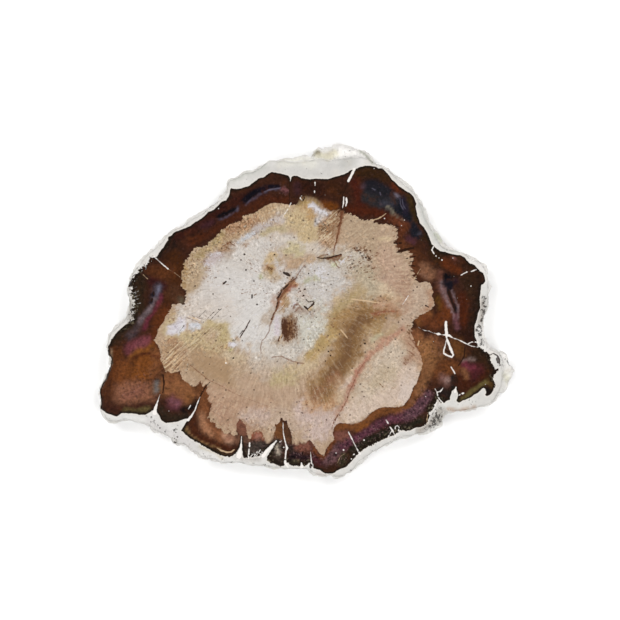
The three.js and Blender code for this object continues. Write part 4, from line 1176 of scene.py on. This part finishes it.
def level_rim(side, level, drop):
    """Levels the open rim at one end of the side and gives it as a ring of sides in plan."""
    spots, ends = vertex_spots(side.data), edge_ends(side.data)
    heights = spots[:, 2]
    rim = open_edges(side.data) & (np.abs(heights[ends].mean(axis=1) - level) < ROUGH_RIM)
    ring = spots[ends[rim]][:, :, :2]
    levelled = (heights - level - drop) * math.copysign(1, -drop) > 0
    levelled[ends[rim].ravel()] = True
    select_only(side)
    with editing(side, "VERT", levelled):
        bpy.ops.transform.resize(value=(1, 1, 0), center_override=(0, 0, level + drop))
    return ring


def grid_within(ring, level, cell):
    """A level grid of small faces that keeps clear of a ring of sides."""
    low, high = ring.min(axis=(0, 1)), ring.max(axis=(0, 1))
    counts = np.ceil((high - low) / cell).astype(int)
    middle = (low + high) / 2
    bpy.ops.mesh.primitive_grid_add(
        x_subdivisions=int(counts[0]), y_subdivisions=int(counts[1]), size=1,
        location=(middle[0], middle[1], level),
    )
    sheet = bpy.context.object
    sheet.scale = (counts[0] * cell, counts[1] * cell, 1)
    bpy.ops.object.transform_apply(location=True, rotation=True, scale=True)
    spots = face_middles(sheet.data)[:, :2]
    near = np.full(len(spots), np.inf)
    for point in ring.mean(axis=1):
        close = np.abs(spots - point).max(axis=1) < 3 * cell
        near[close] = np.minimum(near[close], np.linalg.norm(spots[close] - point, axis=1))
    crossing = near < (0.5 + RIM_GAP_IN_CELLS) * cell
    with editing(sheet, "FACE", ~inside(spots, ring) | crossing):
        bpy.ops.mesh.delete(type="FACE")
    return sheet


def lay_face(side, level, drop, cell):
    """Closes one end of the side with a flat grid of small faces, its rim eased by a drop."""
    ring = level_rim(side, level, drop)
    sheet = grid_within(ring, level, cell)
    select_only(side, sheet)
    bpy.ops.object.join()
    heights = vertex_spots(side.data)[edge_ends(side.data), 2].mean(axis=1)
    with editing(side, "EDGE", open_edges(side.data) & (np.abs(heights - level) < LEVEL_RIM)):
        bpy.ops.mesh.fill(use_beauty=True)


def refine(side, reach, lines):
    """Splits the faces of the polished face that lie within reach of some lines."""
    middles, normals = face_middles(side.data), face_normals(side.data)
    chosen = (normals[:, 2] > FACE_NORMAL) & (middles[:, 2] > FACE_LEVEL - FACE_SLACK)
    found = np.flatnonzero(chosen)
    chosen[found] = lines_distance(photo_places(middles[found]), lines) < reach
    with editing(side, "FACE", chosen):
        bpy.ops.mesh.subdivide(number_cuts=1)


def keep(mesh, name, values):
    """Stores a number, or a colour's three parts, for each vertex, for the materials to read."""
    if np.size(values) == len(mesh.vertices):
        mesh.attributes.new(name, "FLOAT", "POINT").data.foreach_set("value", np.ravel(values))
        return
    colours = np.column_stack([values, np.ones(len(values))])
    mesh.attributes.new(name, "FLOAT_COLOR", "POINT").data.foreach_set("color", colours.ravel())


def seen_from_above(mesh):
    """1 where the photograph sees the stone, falling to 0 where the side turns from its view."""
    upward = rows(mesh.attributes["upward"].data, "value", 1).ravel()
    on_face = vertex_spots(mesh)[:, 2] > FACE_LEVEL - LEVEL_RIM
    return np.where(on_face, 1.0, np.clip(upward / SEEN_NORMAL, 0, 1))


def mark_stone(mesh):
    """Lays the markings out over the stone, as colours, amounts and distances at its vertices."""
    drawn = photo_places(vertex_spots(mesh))
    drift = sum(wander(drawn, size, amount) for size, amount in WANDERS)
    grown, nudged, between = (drawn + drift * share for share in (1, 0.3, 0.45))
    ragged = [tatter(drawn, layer) for layer in FRAY_LAYERS]
    gentle = [fray * GENTLE_FRAY for fray in ragged]
    seen = seen_from_above(mesh)
    keep(mesh, "seen", seen)
    seen = seen[:, None]
    for name, places, washes, frays, shown in (
        ("heart_colour", grown, HEART_WASHES, ragged, 1),
        ("band_colour", between, BAND_WASHES, gentle, 1),
        ("chalk_colour", nudged, CHALK_WASHES, gentle, seen),
        ("grain", grown, GRAIN_WASHES, ragged, 1),
        ("char", nudged, CHAR_WASHES, gentle, 1),
        ("frost", grown, FROST_WASHES, gentle, 1),
        ("ochre", grown, OCHRE_WASHES, gentle, 1),
        ("rays", grown, RAY_WASHES, ragged, 1),
        ("comb", grown, COMB_WASHES, gentle, 1),
        ("fade", drawn, FADE_WASHES, gentle, 1),
        ("fray", grown, FRAY_WASHES, gentle, 1),
        ("teeth", grown, TEETH_WASHES, gentle, 1),
        ("pits", grown, PIT_WASHES, ragged, seen),
        ("crystals", grown, CRYSTAL_WASHES, ragged, 1),
        ("crust", grown, CRUST_WASHES, gentle, 1),
    ):
        keep(mesh, name, laid(places, washes, frays, shown))
    keep(mesh, "heart_depth", depth_inside(drawn, HEART_LINE))
    keep(mesh, "band_depth", depth_inside(drawn, RIND_LINE))
    for name in CRISP_MARKINGS:
        keep(mesh, name, lines_distance(drawn, crisp_lines(name)))


def build_stone():
    """The whole stone as one closed mesh."""
    side = natural_side()
    lay_face(side, FACE_LEVEL, -ARRIS_DROP, FACE_CELL * PIXEL)
    lay_face(side, 0.0, ARRIS_DROP, BASE_CELL * PIXEL)
    select_only(side)
    weld(side, STONE_WELD)
    heights, upward = face_middles(side.data)[:, 2], face_normals(side.data)[:, 2]
    face_down = (heights > FACE_LEVEL - ARRIS_DROP) & (upward < -CUT_NORMAL)
    base_up = (heights < ARRIS_DROP) & (upward > CUT_NORMAL)
    with editing(side, "FACE", face_down | base_up):
        bpy.ops.mesh.flip_normals()
    for outline in (RIND_LINE, HEART_LINE):
        refine(side, OUTLINE_REACH, [closed(outline)])
    every_line = [line for name in CRISP_MARKINGS for line in crisp_lines(name)]
    for reach in LINE_REACHES:
        refine(side, reach, every_line)
    bpy.ops.object.shade_smooth_by_angle(angle=SMOOTH_ANGLE)
    mark_stone(side.data)
    return side


class Flow:
    """A value in a material's node tree. Python sums and products of it add Math nodes."""

    def __init__(self, finish, socket):
        self.finish = finish
        self.socket = socket

    def math(self, operation, first, second):
        """The outcome of a Math node."""
        return self.finish.node("ShaderNodeMath", {"operation": operation}, {0: first, 1: second})

    def __add__(self, other):
        return self.math("ADD", self, other)

    __radd__ = __add__

    def __sub__(self, other):
        return self.math("SUBTRACT", self, other)

    def __rsub__(self, other):
        return self.math("SUBTRACT", other, self)

    def __mul__(self, other):
        return self.math("MULTIPLY", self, other)

    def __truediv__(self, other):
        return self.math("DIVIDE", self, other)

    def at_least(self, other):
        """The larger of two values."""
        return self.math("MAXIMUM", self, other)


class Finish:
    """A material under construction."""

    def __init__(self, name):
        self.material = bpy.data.materials.new(name)
        self.material.use_nodes = True
        self.tree = self.material.node_tree
        self.tree.nodes.clear()

    def node(self, kind, settings=None, inputs=None, output=0):
        """Adds a node, sets it up, fills or links its sockets and gives one of its outputs."""
        node = self.tree.nodes.new(kind)
        for name, value in (settings or {}).items():
            setattr(node, name, value)
        for key, value in (inputs or {}).items():
            if isinstance(value, Flow):
                self.tree.links.new(value.socket, node.inputs[key])
            else:
                node.inputs[key].default_value = value
        return Flow(self, node.outputs[output]) if node.outputs else node

    def number(self, name):
        """A number kept on the mesh."""
        return self.node("ShaderNodeAttribute", {"attribute_name": name}, output=2)

    def colour(self, name):
        """A colour kept on the mesh."""
        return self.node("ShaderNodeAttribute", {"attribute_name": name}, output=0)

    def noise(self, place, size, detail=2.0, roughness=0.5, distortion=0.0):
        """Smooth noise, mostly between -1 and 1, with features of about one size in millimetres."""
        fac = self.node("ShaderNodeTexNoise", None, {
            "Vector": place, "Scale": 1 / size, "Detail": detail, "Roughness": roughness,
            "Distortion": distortion,
        })
        return (fac - 0.5) * 4.0

    def cells(self, place, size, output=0):
        """Distance from the middle of a cell, or with output 1 a chance value of each cell."""
        inputs = {"Vector": place, "Scale": 1 / size}
        return self.node("ShaderNodeTexVoronoi", {"feature": "F1"}, inputs, output)

    def vector(self, operation, *values, output=0):
        """A sum, product or measure of vectors."""
        inputs = dict(enumerate(values))
        return self.node("ShaderNodeVectorMath", {"operation": operation}, inputs, output)

    def upright(self, height):
        """A vector that points straight up, of some height."""
        return self.node("ShaderNodeCombineXYZ", None, {2: height})

    def step(self, value, low, high):
        """0 below low, 1 above high, and smooth between them."""
        return self.node("ShaderNodeMapRange", {"interpolation_type": "SMOOTHSTEP"}, {
            0: value, 1: low, 2: high, 3: 0.0, 4: 1.0,
        })

    def blend(self, amount, first, second):
        """A colour between two."""
        return self.node("ShaderNodeMix", {"data_type": "RGBA"}, {
            0: amount, 6: rgba(first), 7: rgba(second),
        }, output=2)

    def coated(self, colour, *coats):
        """A colour with coats laid over it in turn, each with how much it covers and its colour."""
        for cover, tone in coats:
            colour = self.blend(cover, colour, tone)
        return colour

    def scaled(self, vector, amount):
        """A vector or colour times a number."""
        return self.node("ShaderNodeVectorMath", {"operation": "SCALE"}, {
            0: vector, "Scale": amount,
        })

    def place_in_mm(self):
        """The place on the piece, in millimetres."""
        spot = self.node("ShaderNodeTexCoord", output=3)
        return self.scaled(spot, 1 / MM)

    def end(self, colour, roughness, height, bump_depth, **fixed):
        """Finishes the material with a bump from a height."""
        bump = self.node("ShaderNodeBump", None, {
            "Height": height, "Strength": 1.0, "Distance": bump_depth,
        })
        return self.plain({"Base Color": colour, "Roughness": roughness, "Normal": bump, **fixed})

    def plain(self, inputs):
        """Finishes the material with a plain shader."""
        shader = self.node("ShaderNodeBsdfPrincipled", None, inputs)
        self.node("ShaderNodeOutputMaterial", None, {"Surface": shader})
        return self.material


def rgba(colour):
    """A node's colour value from a hex colour. A flow passes through."""
    if isinstance(colour, str):
        return (*linear(colour), 1.0)
    return colour


def wood_rays(f, place):
    """Noise stretched along the rays that leave the pith, and noise stretched round it."""
    pith_x, pith_y = to_metres(PITH)
    from_pith = f.vector("SUBTRACT", place, (pith_x / MM, pith_y / MM, 0))
    flat = f.vector("MULTIPLY", from_pith, (1, 1, 0))
    heading = f.vector("NORMALIZE", flat)
    radius = f.vector("LENGTH", flat, output=1)
    fan = f.vector("MULTIPLY_ADD", heading, (46, 46, 46), f.upright(radius * 0.16))
    waves = radius * 1.1 + f.noise(place, 9.0, 2) * 1.6
    hoops = f.vector("MULTIPLY_ADD", heading, (2.5, 2.5, 2.5), f.upright(waves))
    return f.noise(fan, 1.0, 3, 0.65), f.noise(hoops, 1.0, 2, 0.6)


def combed(f, place):
    """Noise drawn out into fine stripes that rise to the right."""
    turned = f.node("ShaderNodeVectorRotate", {"rotation_type": "Z_AXIS"}, {
        "Vector": place, "Angle": -COMB_ANGLE,
    })
    return f.noise(f.vector("MULTIPLY", turned, (0.12, 1, 1)), 1.0, 2, 0.6)


def hairlines(f, place, size, width):
    """Thin wandering cracks: where a noise crosses its middle."""
    lie = f.noise(place, size, 3, 0.6, 0.8)
    return 1.0 - f.step(lie.at_least(lie * -1.0), width * 0.3, width)


def scattered_dots(f, place, size, radius, share):
    """Small round marks, one in each of a share of cells."""
    near = f.cells(place, size) + f.noise(place, 0.9, 1) * radius * 0.35
    lucky = f.cells(place, size, output=1)
    return (1.0 - f.step(near, radius * 0.7, radius * 1.3)) * f.step(lucky, 1.0 - share, 1.05 - share)


def heartwood(f, place, rays, rings):
    """The pale heartwood: soft washes, rays, rings, stipple, specks and hairline cracks."""
    clouds = f.noise(place, 6.0, 4, 0.65, 0.5)
    mottle = f.noise(place, 2.4, 3, 0.65)
    stipple = f.noise(place, 1.45, 2, 0.75)
    stipple = stipple * (f.step(f.noise(place, 7.0, 3, 0.6), -0.25, 0.45) * 1.15 + 0.45)
    grain, ray_strength, comb = f.number("grain"), f.number("rays"), f.number("comb")
    value = (
        1.0 + rays * (ray_strength * 0.15 + 0.06) + rings * 0.05 + clouds * 0.05
        + mottle * (grain * 0.12 + 0.05) + stipple * (grain * 0.62 + 0.09)
    )
    stripes = combed(f, place)
    brown = f.step(f.noise(place, 1.55, 2, 0.75) + rays * 0.4, 0.25, 0.6)
    cream = f.step(f.noise(place, 1.5, 2, 0.7) - stipple * 0.3, 0.3, 0.7)
    cracks = hairlines(f, place, 8.0, 0.06) * f.step(clouds, -0.3, 0.6)
    clumps = mottle * 0.15 + f.noise(place, 1.9, 2, 0.75) * 0.45
    ochre = f.step(f.number("ochre") + clumps, 0.5, 0.75) * f.step(f.number("ochre"), 0.0, 0.2)
    frost = f.step(f.number("frost") - clumps + rays * 0.1, 0.5, 0.75)
    frost = frost * f.step(f.number("frost"), 0.0, 0.25)
    char = f.number("char") + f.noise(place, 1.7, 2, 0.75) * 0.42 + rays * 0.55
    return f.coated(
        f.scaled(f.colour("heart_colour"), value),
        (f.step(rays, 0.1, 0.6) * ray_strength * 0.75, "#e0ccae"),
        (f.step(rays * -1.0, 0.05, 0.6) * ray_strength * 0.65, "#86653f"),
        (f.step(stripes, 0.1, 0.45) * comb * 0.8, "#e3d0ae"),
        (f.step(stripes * -1.0, 0.05, 0.45) * comb * 0.7, "#7f5e40"),
        (brown * grain * 0.85, "#7a5334"),
        (cream * (grain * 0.5 + 0.03), "#e8d8c0"),
        (cracks * (1.0 - grain) * 0.5, "#8d7d70"),
        (scattered_dots(f, place, 3.4, 0.15, 0.5) * 0.75, "#4d3c32"),
        (ochre * 0.55, "#a48d60"),
        (frost * 0.8, "#dedadd"),
        (f.step(char, 0.5, 0.75) * 0.65, "#7d5232"),
        (f.step(char, 0.66, 1.1) * 0.95, "#482816"),
    )


def agate_band(f, place, depth):
    """The brown agate band, with its cloudy pockets, grainy stretches and dark outer crust."""
    clouds = f.noise(place, 5.0, 4, 0.65, 1.0)
    flecks = f.noise(place, 1.7, 2, 0.75)
    crystals = f.number("crystals")
    sheet = f.vector("MULTIPLY_ADD", place, (0.07, 0.07, 0.0), f.upright(depth * 0.3))
    layers = f.noise(sheet, 1.0, 3, 0.65)
    swirls = f.noise(place, 2.8, 4, 0.7, 1.4)
    value = 0.84 + clouds * 0.14 + layers * 0.11 + swirls * 0.15 + flecks * (crystals * 0.55 + 0.28)
    glow = f.step(f.noise(place, 7.0, 3, 0.6, 0.6) + layers * 0.4, 0.2, 1.1)
    shade = f.step(f.noise(place, 6.0, 3, 0.6, 0.9) - layers * 0.4, 0.3, 1.1)
    creases = hairlines(f, place, 6.0, 0.05) * f.step(clouds, 0.0, 0.8)
    sparks = f.step(f.noise(place, 1.5, 2, 0.75), 0.25, 0.8) * crystals
    width = f.number("crust") * (1.0 + f.noise(place, 6.0, 2) * 0.35)
    edge = depth + (f.cells(place, 1.5) - 0.5) * 1.6
    dark = 1.0 - f.step(edge / width, 0.45, 1.35)
    mossy = f.step(f.noise(place, 1.7, 2, 0.7), 0.1, 0.7) * dark * f.step(width, 3.0, 5.5)
    return f.coated(
        f.scaled(f.colour("band_colour"), value),
        (glow * 0.2, "#6e3a16"),
        (shade * 0.4, "#1c100c"),
        (creases * 0.4, "#2a1208"),
        (sparks * 0.55, "#8e6c6c"),
        (dark * 0.87, "#1a130c"),
        (mossy * 0.65, "#7a705a"),
    )


def cut_rind(f, place, depth):
    """The chalky rind where the saw cut it: smooth light grey with a bright inner line."""
    pits = f.number("pits")
    value = 0.96 + f.noise(place, 5.0, 4, 0.65) * 0.09
    warm = f.step(f.noise(place, 8.0, 3), 0.2, 1.1)
    worn = f.step(f.noise(place, 1.8, 3, 0.7), 0.1, 0.9)
    holes = f.step(f.noise(place, 1.9, 3, 0.7) + pits * 0.7, 0.8, 1.0)
    return f.coated(
        f.scaled(f.colour("chalk_colour"), value),
        (warm * 0.25, "#d8ccb8"),
        (worn * (pits * 0.6 + 0.1), "#8b847c"),
        (holes * 0.9, "#302b27"),
        (f.step(depth, -1.5, -0.5) * 0.6, "#ece4da"),
    )


def cut_face(name, polished):
    """The sawn cross-section, polished on the face and left dull on the base."""
    f = Finish(name)
    place = f.place_in_mm()
    broad = f.noise(place, 2.8, 2)
    fine = f.noise(place, 1.1, 3, 0.65)
    teeth = f.cells(place, 1.3) - 0.5
    rays, rings = wood_rays(f, place)
    fray = f.number("fray")
    heart_depth = f.number("heart_depth") + broad * 0.35 + fine * 0.45 + teeth * 0.7 + rays * fray
    band_depth = f.number("band_depth") + broad * 0.2 + f.noise(place, 1.5, 3, 0.7) * f.number("teeth")
    fade = f.number("fade") + 0.4
    in_heart = f.step(heart_depth, fade * -1.0, fade)
    in_band = f.step(band_depth, -0.3, 0.3)

    colour = f.blend(in_heart, agate_band(f, place, band_depth), heartwood(f, place, rays, rings))
    colour = f.blend(in_band, cut_rind(f, place, band_depth), colour)
    jitter = f.noise(place, 1.5, 2) * 0.3
    covers = {}
    for marking, (_, _, tone, amount, low, high) in CRISP_MARKINGS.items():
        ragged = fine * 0.5 if marking == "umber" else jitter
        covers[marking] = 1.0 - f.step(f.number(marking) + ragged, low, high)
        colour = f.blend(covers[marking] * amount, colour, tone)

    chalk = 1.0 - in_band
    if polished:
        roughness = 0.16 + in_heart * in_band * 0.06 + chalk * 0.42 + fine * 0.01
        height = 0.0 - covers["dark"] * 0.1 + fine * chalk * 0.2
        return f.end(colour, roughness, height, FACE_BUMP, **{"Specular IOR Level": 0.32})
    saw_marks = f.node("ShaderNodeTexWave", {"wave_type": "BANDS", "bands_direction": "DIAGONAL"}, {
        "Vector": place, "Scale": 0.35, "Distortion": 1.5, "Detail": 2.0, "Detail Scale": 2.0,
    })
    dusty = f.blend(0.28, colour, "#c9c2b8")
    return f.end(dusty, 0.62 + fine * 0.02, saw_marks * 0.5 + fine * 0.15, BASE_BUMP)


def chalky_bark():
    """The natural side: off-white chalk with grey pits and tan and greenish stains, painted light on its
    ridges and upward parts, and painted shade in its recesses.
    """
    f = Finish("chalky bark")
    place = f.place_in_mm()
    pits, rise, seen = f.number("pits"), f.number("rise"), f.number("seen")
    # Painted light: the ridges of the relief and the parts that face up are painted lighter.
    value = 1.38 + f.noise(place, 6.0, 4, 0.65) * 0.14 + rise * 0.06 + seen * 0.12
    # Painted shade in the recesses of the relief, deeper on the sides that turn from above.
    hollow_shade = f.step(rise * -1.0, 0.3, 1.8)
    stain = f.step(f.noise(place, 11.0, 3, 0.6), 0.3, 1.3)
    moss = f.step(f.noise(place, 8.0, 4, 0.7, 0.6), 0.4, 1.3)
    crumbs = f.noise(place, 1.7, 3, 0.7)
    holes = f.step(crumbs + pits * 0.6, 0.75, 1.1)
    gaps = 1.0 - f.step(f.number("dark") + crumbs * 0.5, -0.3, 0.6)
    colour = f.coated(
        f.scaled(f.colour("chalk_colour"), value),
        (hollow_shade * ((1.0 - seen) * 0.45 + 0.05), "#a0978b"),
        (stain * 0.35, "#c9b797"),
        (moss * 0.4, "#a9ab93"),
        (holes * 0.8, "#4f4840"),
        (gaps * seen * 0.85, "#2f2a26"),
    )
    height = f.noise(place, 2.0, 5, 0.7) * 0.5 - holes * 0.5
    return f.end(colour, 0.85, height, BARK_BUMP)


def dress_stone(stone):
    """Gives the polished face, the rough side and the sawn base their own finishes."""
    mesh = stone.data
    polished = cut_face("polished petrified wood", True)
    for material in (polished, chalky_bark(), cut_face("sawn base", False)):
        mesh.materials.append(material)
    heights, upward = face_middles(mesh)[:, 2], face_normals(mesh)[:, 2]
    face = (heights > FACE_LEVEL - ARRIS_DROP) & (upward > CUT_NORMAL)
    base = (heights < ARRIS_DROP) & (upward < -CUT_NORMAL)
    mesh.polygons.foreach_set("material_index", np.where(face, 0, np.where(base, 2, 1)))


def add_floor():
    """A plain pale floor under the stone."""
    bpy.ops.mesh.primitive_plane_add(size=FLOOR_SIZE, location=(0, 0, 0))
    floor = bpy.context.object
    floor.name = "floor"
    floor.data.materials.append(Finish("pale floor").plain({
        "Base Color": (0.97, 0.97, 0.97, 1), "Roughness": 0.9, "Specular IOR Level": 0.1,
    }))


def light_studio():
    """Large soft lamps all round that face the stone, and a little light from everywhere."""
    for name, (place, power) in LAMPS.items():
        lamp = bpy.data.lights.new(name, "AREA")
        lamp.shape = "SQUARE"
        lamp.size = LAMP_SIZE
        lamp.energy = power
        thing = bpy.data.objects.new(name, lamp)
        bpy.context.scene.collection.objects.link(thing)
        thing.location = place
        thing.rotation_euler = (-Vector(place)).to_track_quat("-Z", "Y").to_euler()
    world = bpy.data.worlds.new("studio")
    bpy.context.scene.world = world
    world.use_nodes = True
    background = world.node_tree.nodes["Background"]
    background.inputs["Color"].default_value = (1, 1, 1, 1)
    background.inputs["Strength"].default_value = SKY_LIGHT
    bpy.context.scene.view_settings.view_transform = "Standard"


def add_camera():
    """The photograph's view: straight down on the face from well above it."""
    camera = bpy.data.objects.new("camera", bpy.data.cameras.new("camera"))
    bpy.context.scene.collection.objects.link(camera)
    x, y = to_metres((PHOTO_SIZE / 2, PHOTO_SIZE / 2))
    camera.location = (x, y, FACE_LEVEL + CAMERA_HEIGHT)
    camera.data.lens = camera.data.sensor_width * CAMERA_HEIGHT / (PHOTO_SIZE * PIXEL)
    bpy.context.scene.camera = camera


add_camera()
stone = build_stone()
dress_stone(stone)
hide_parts(STONE_NODE)
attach(stone, "root")
add_floor()
light_studio()
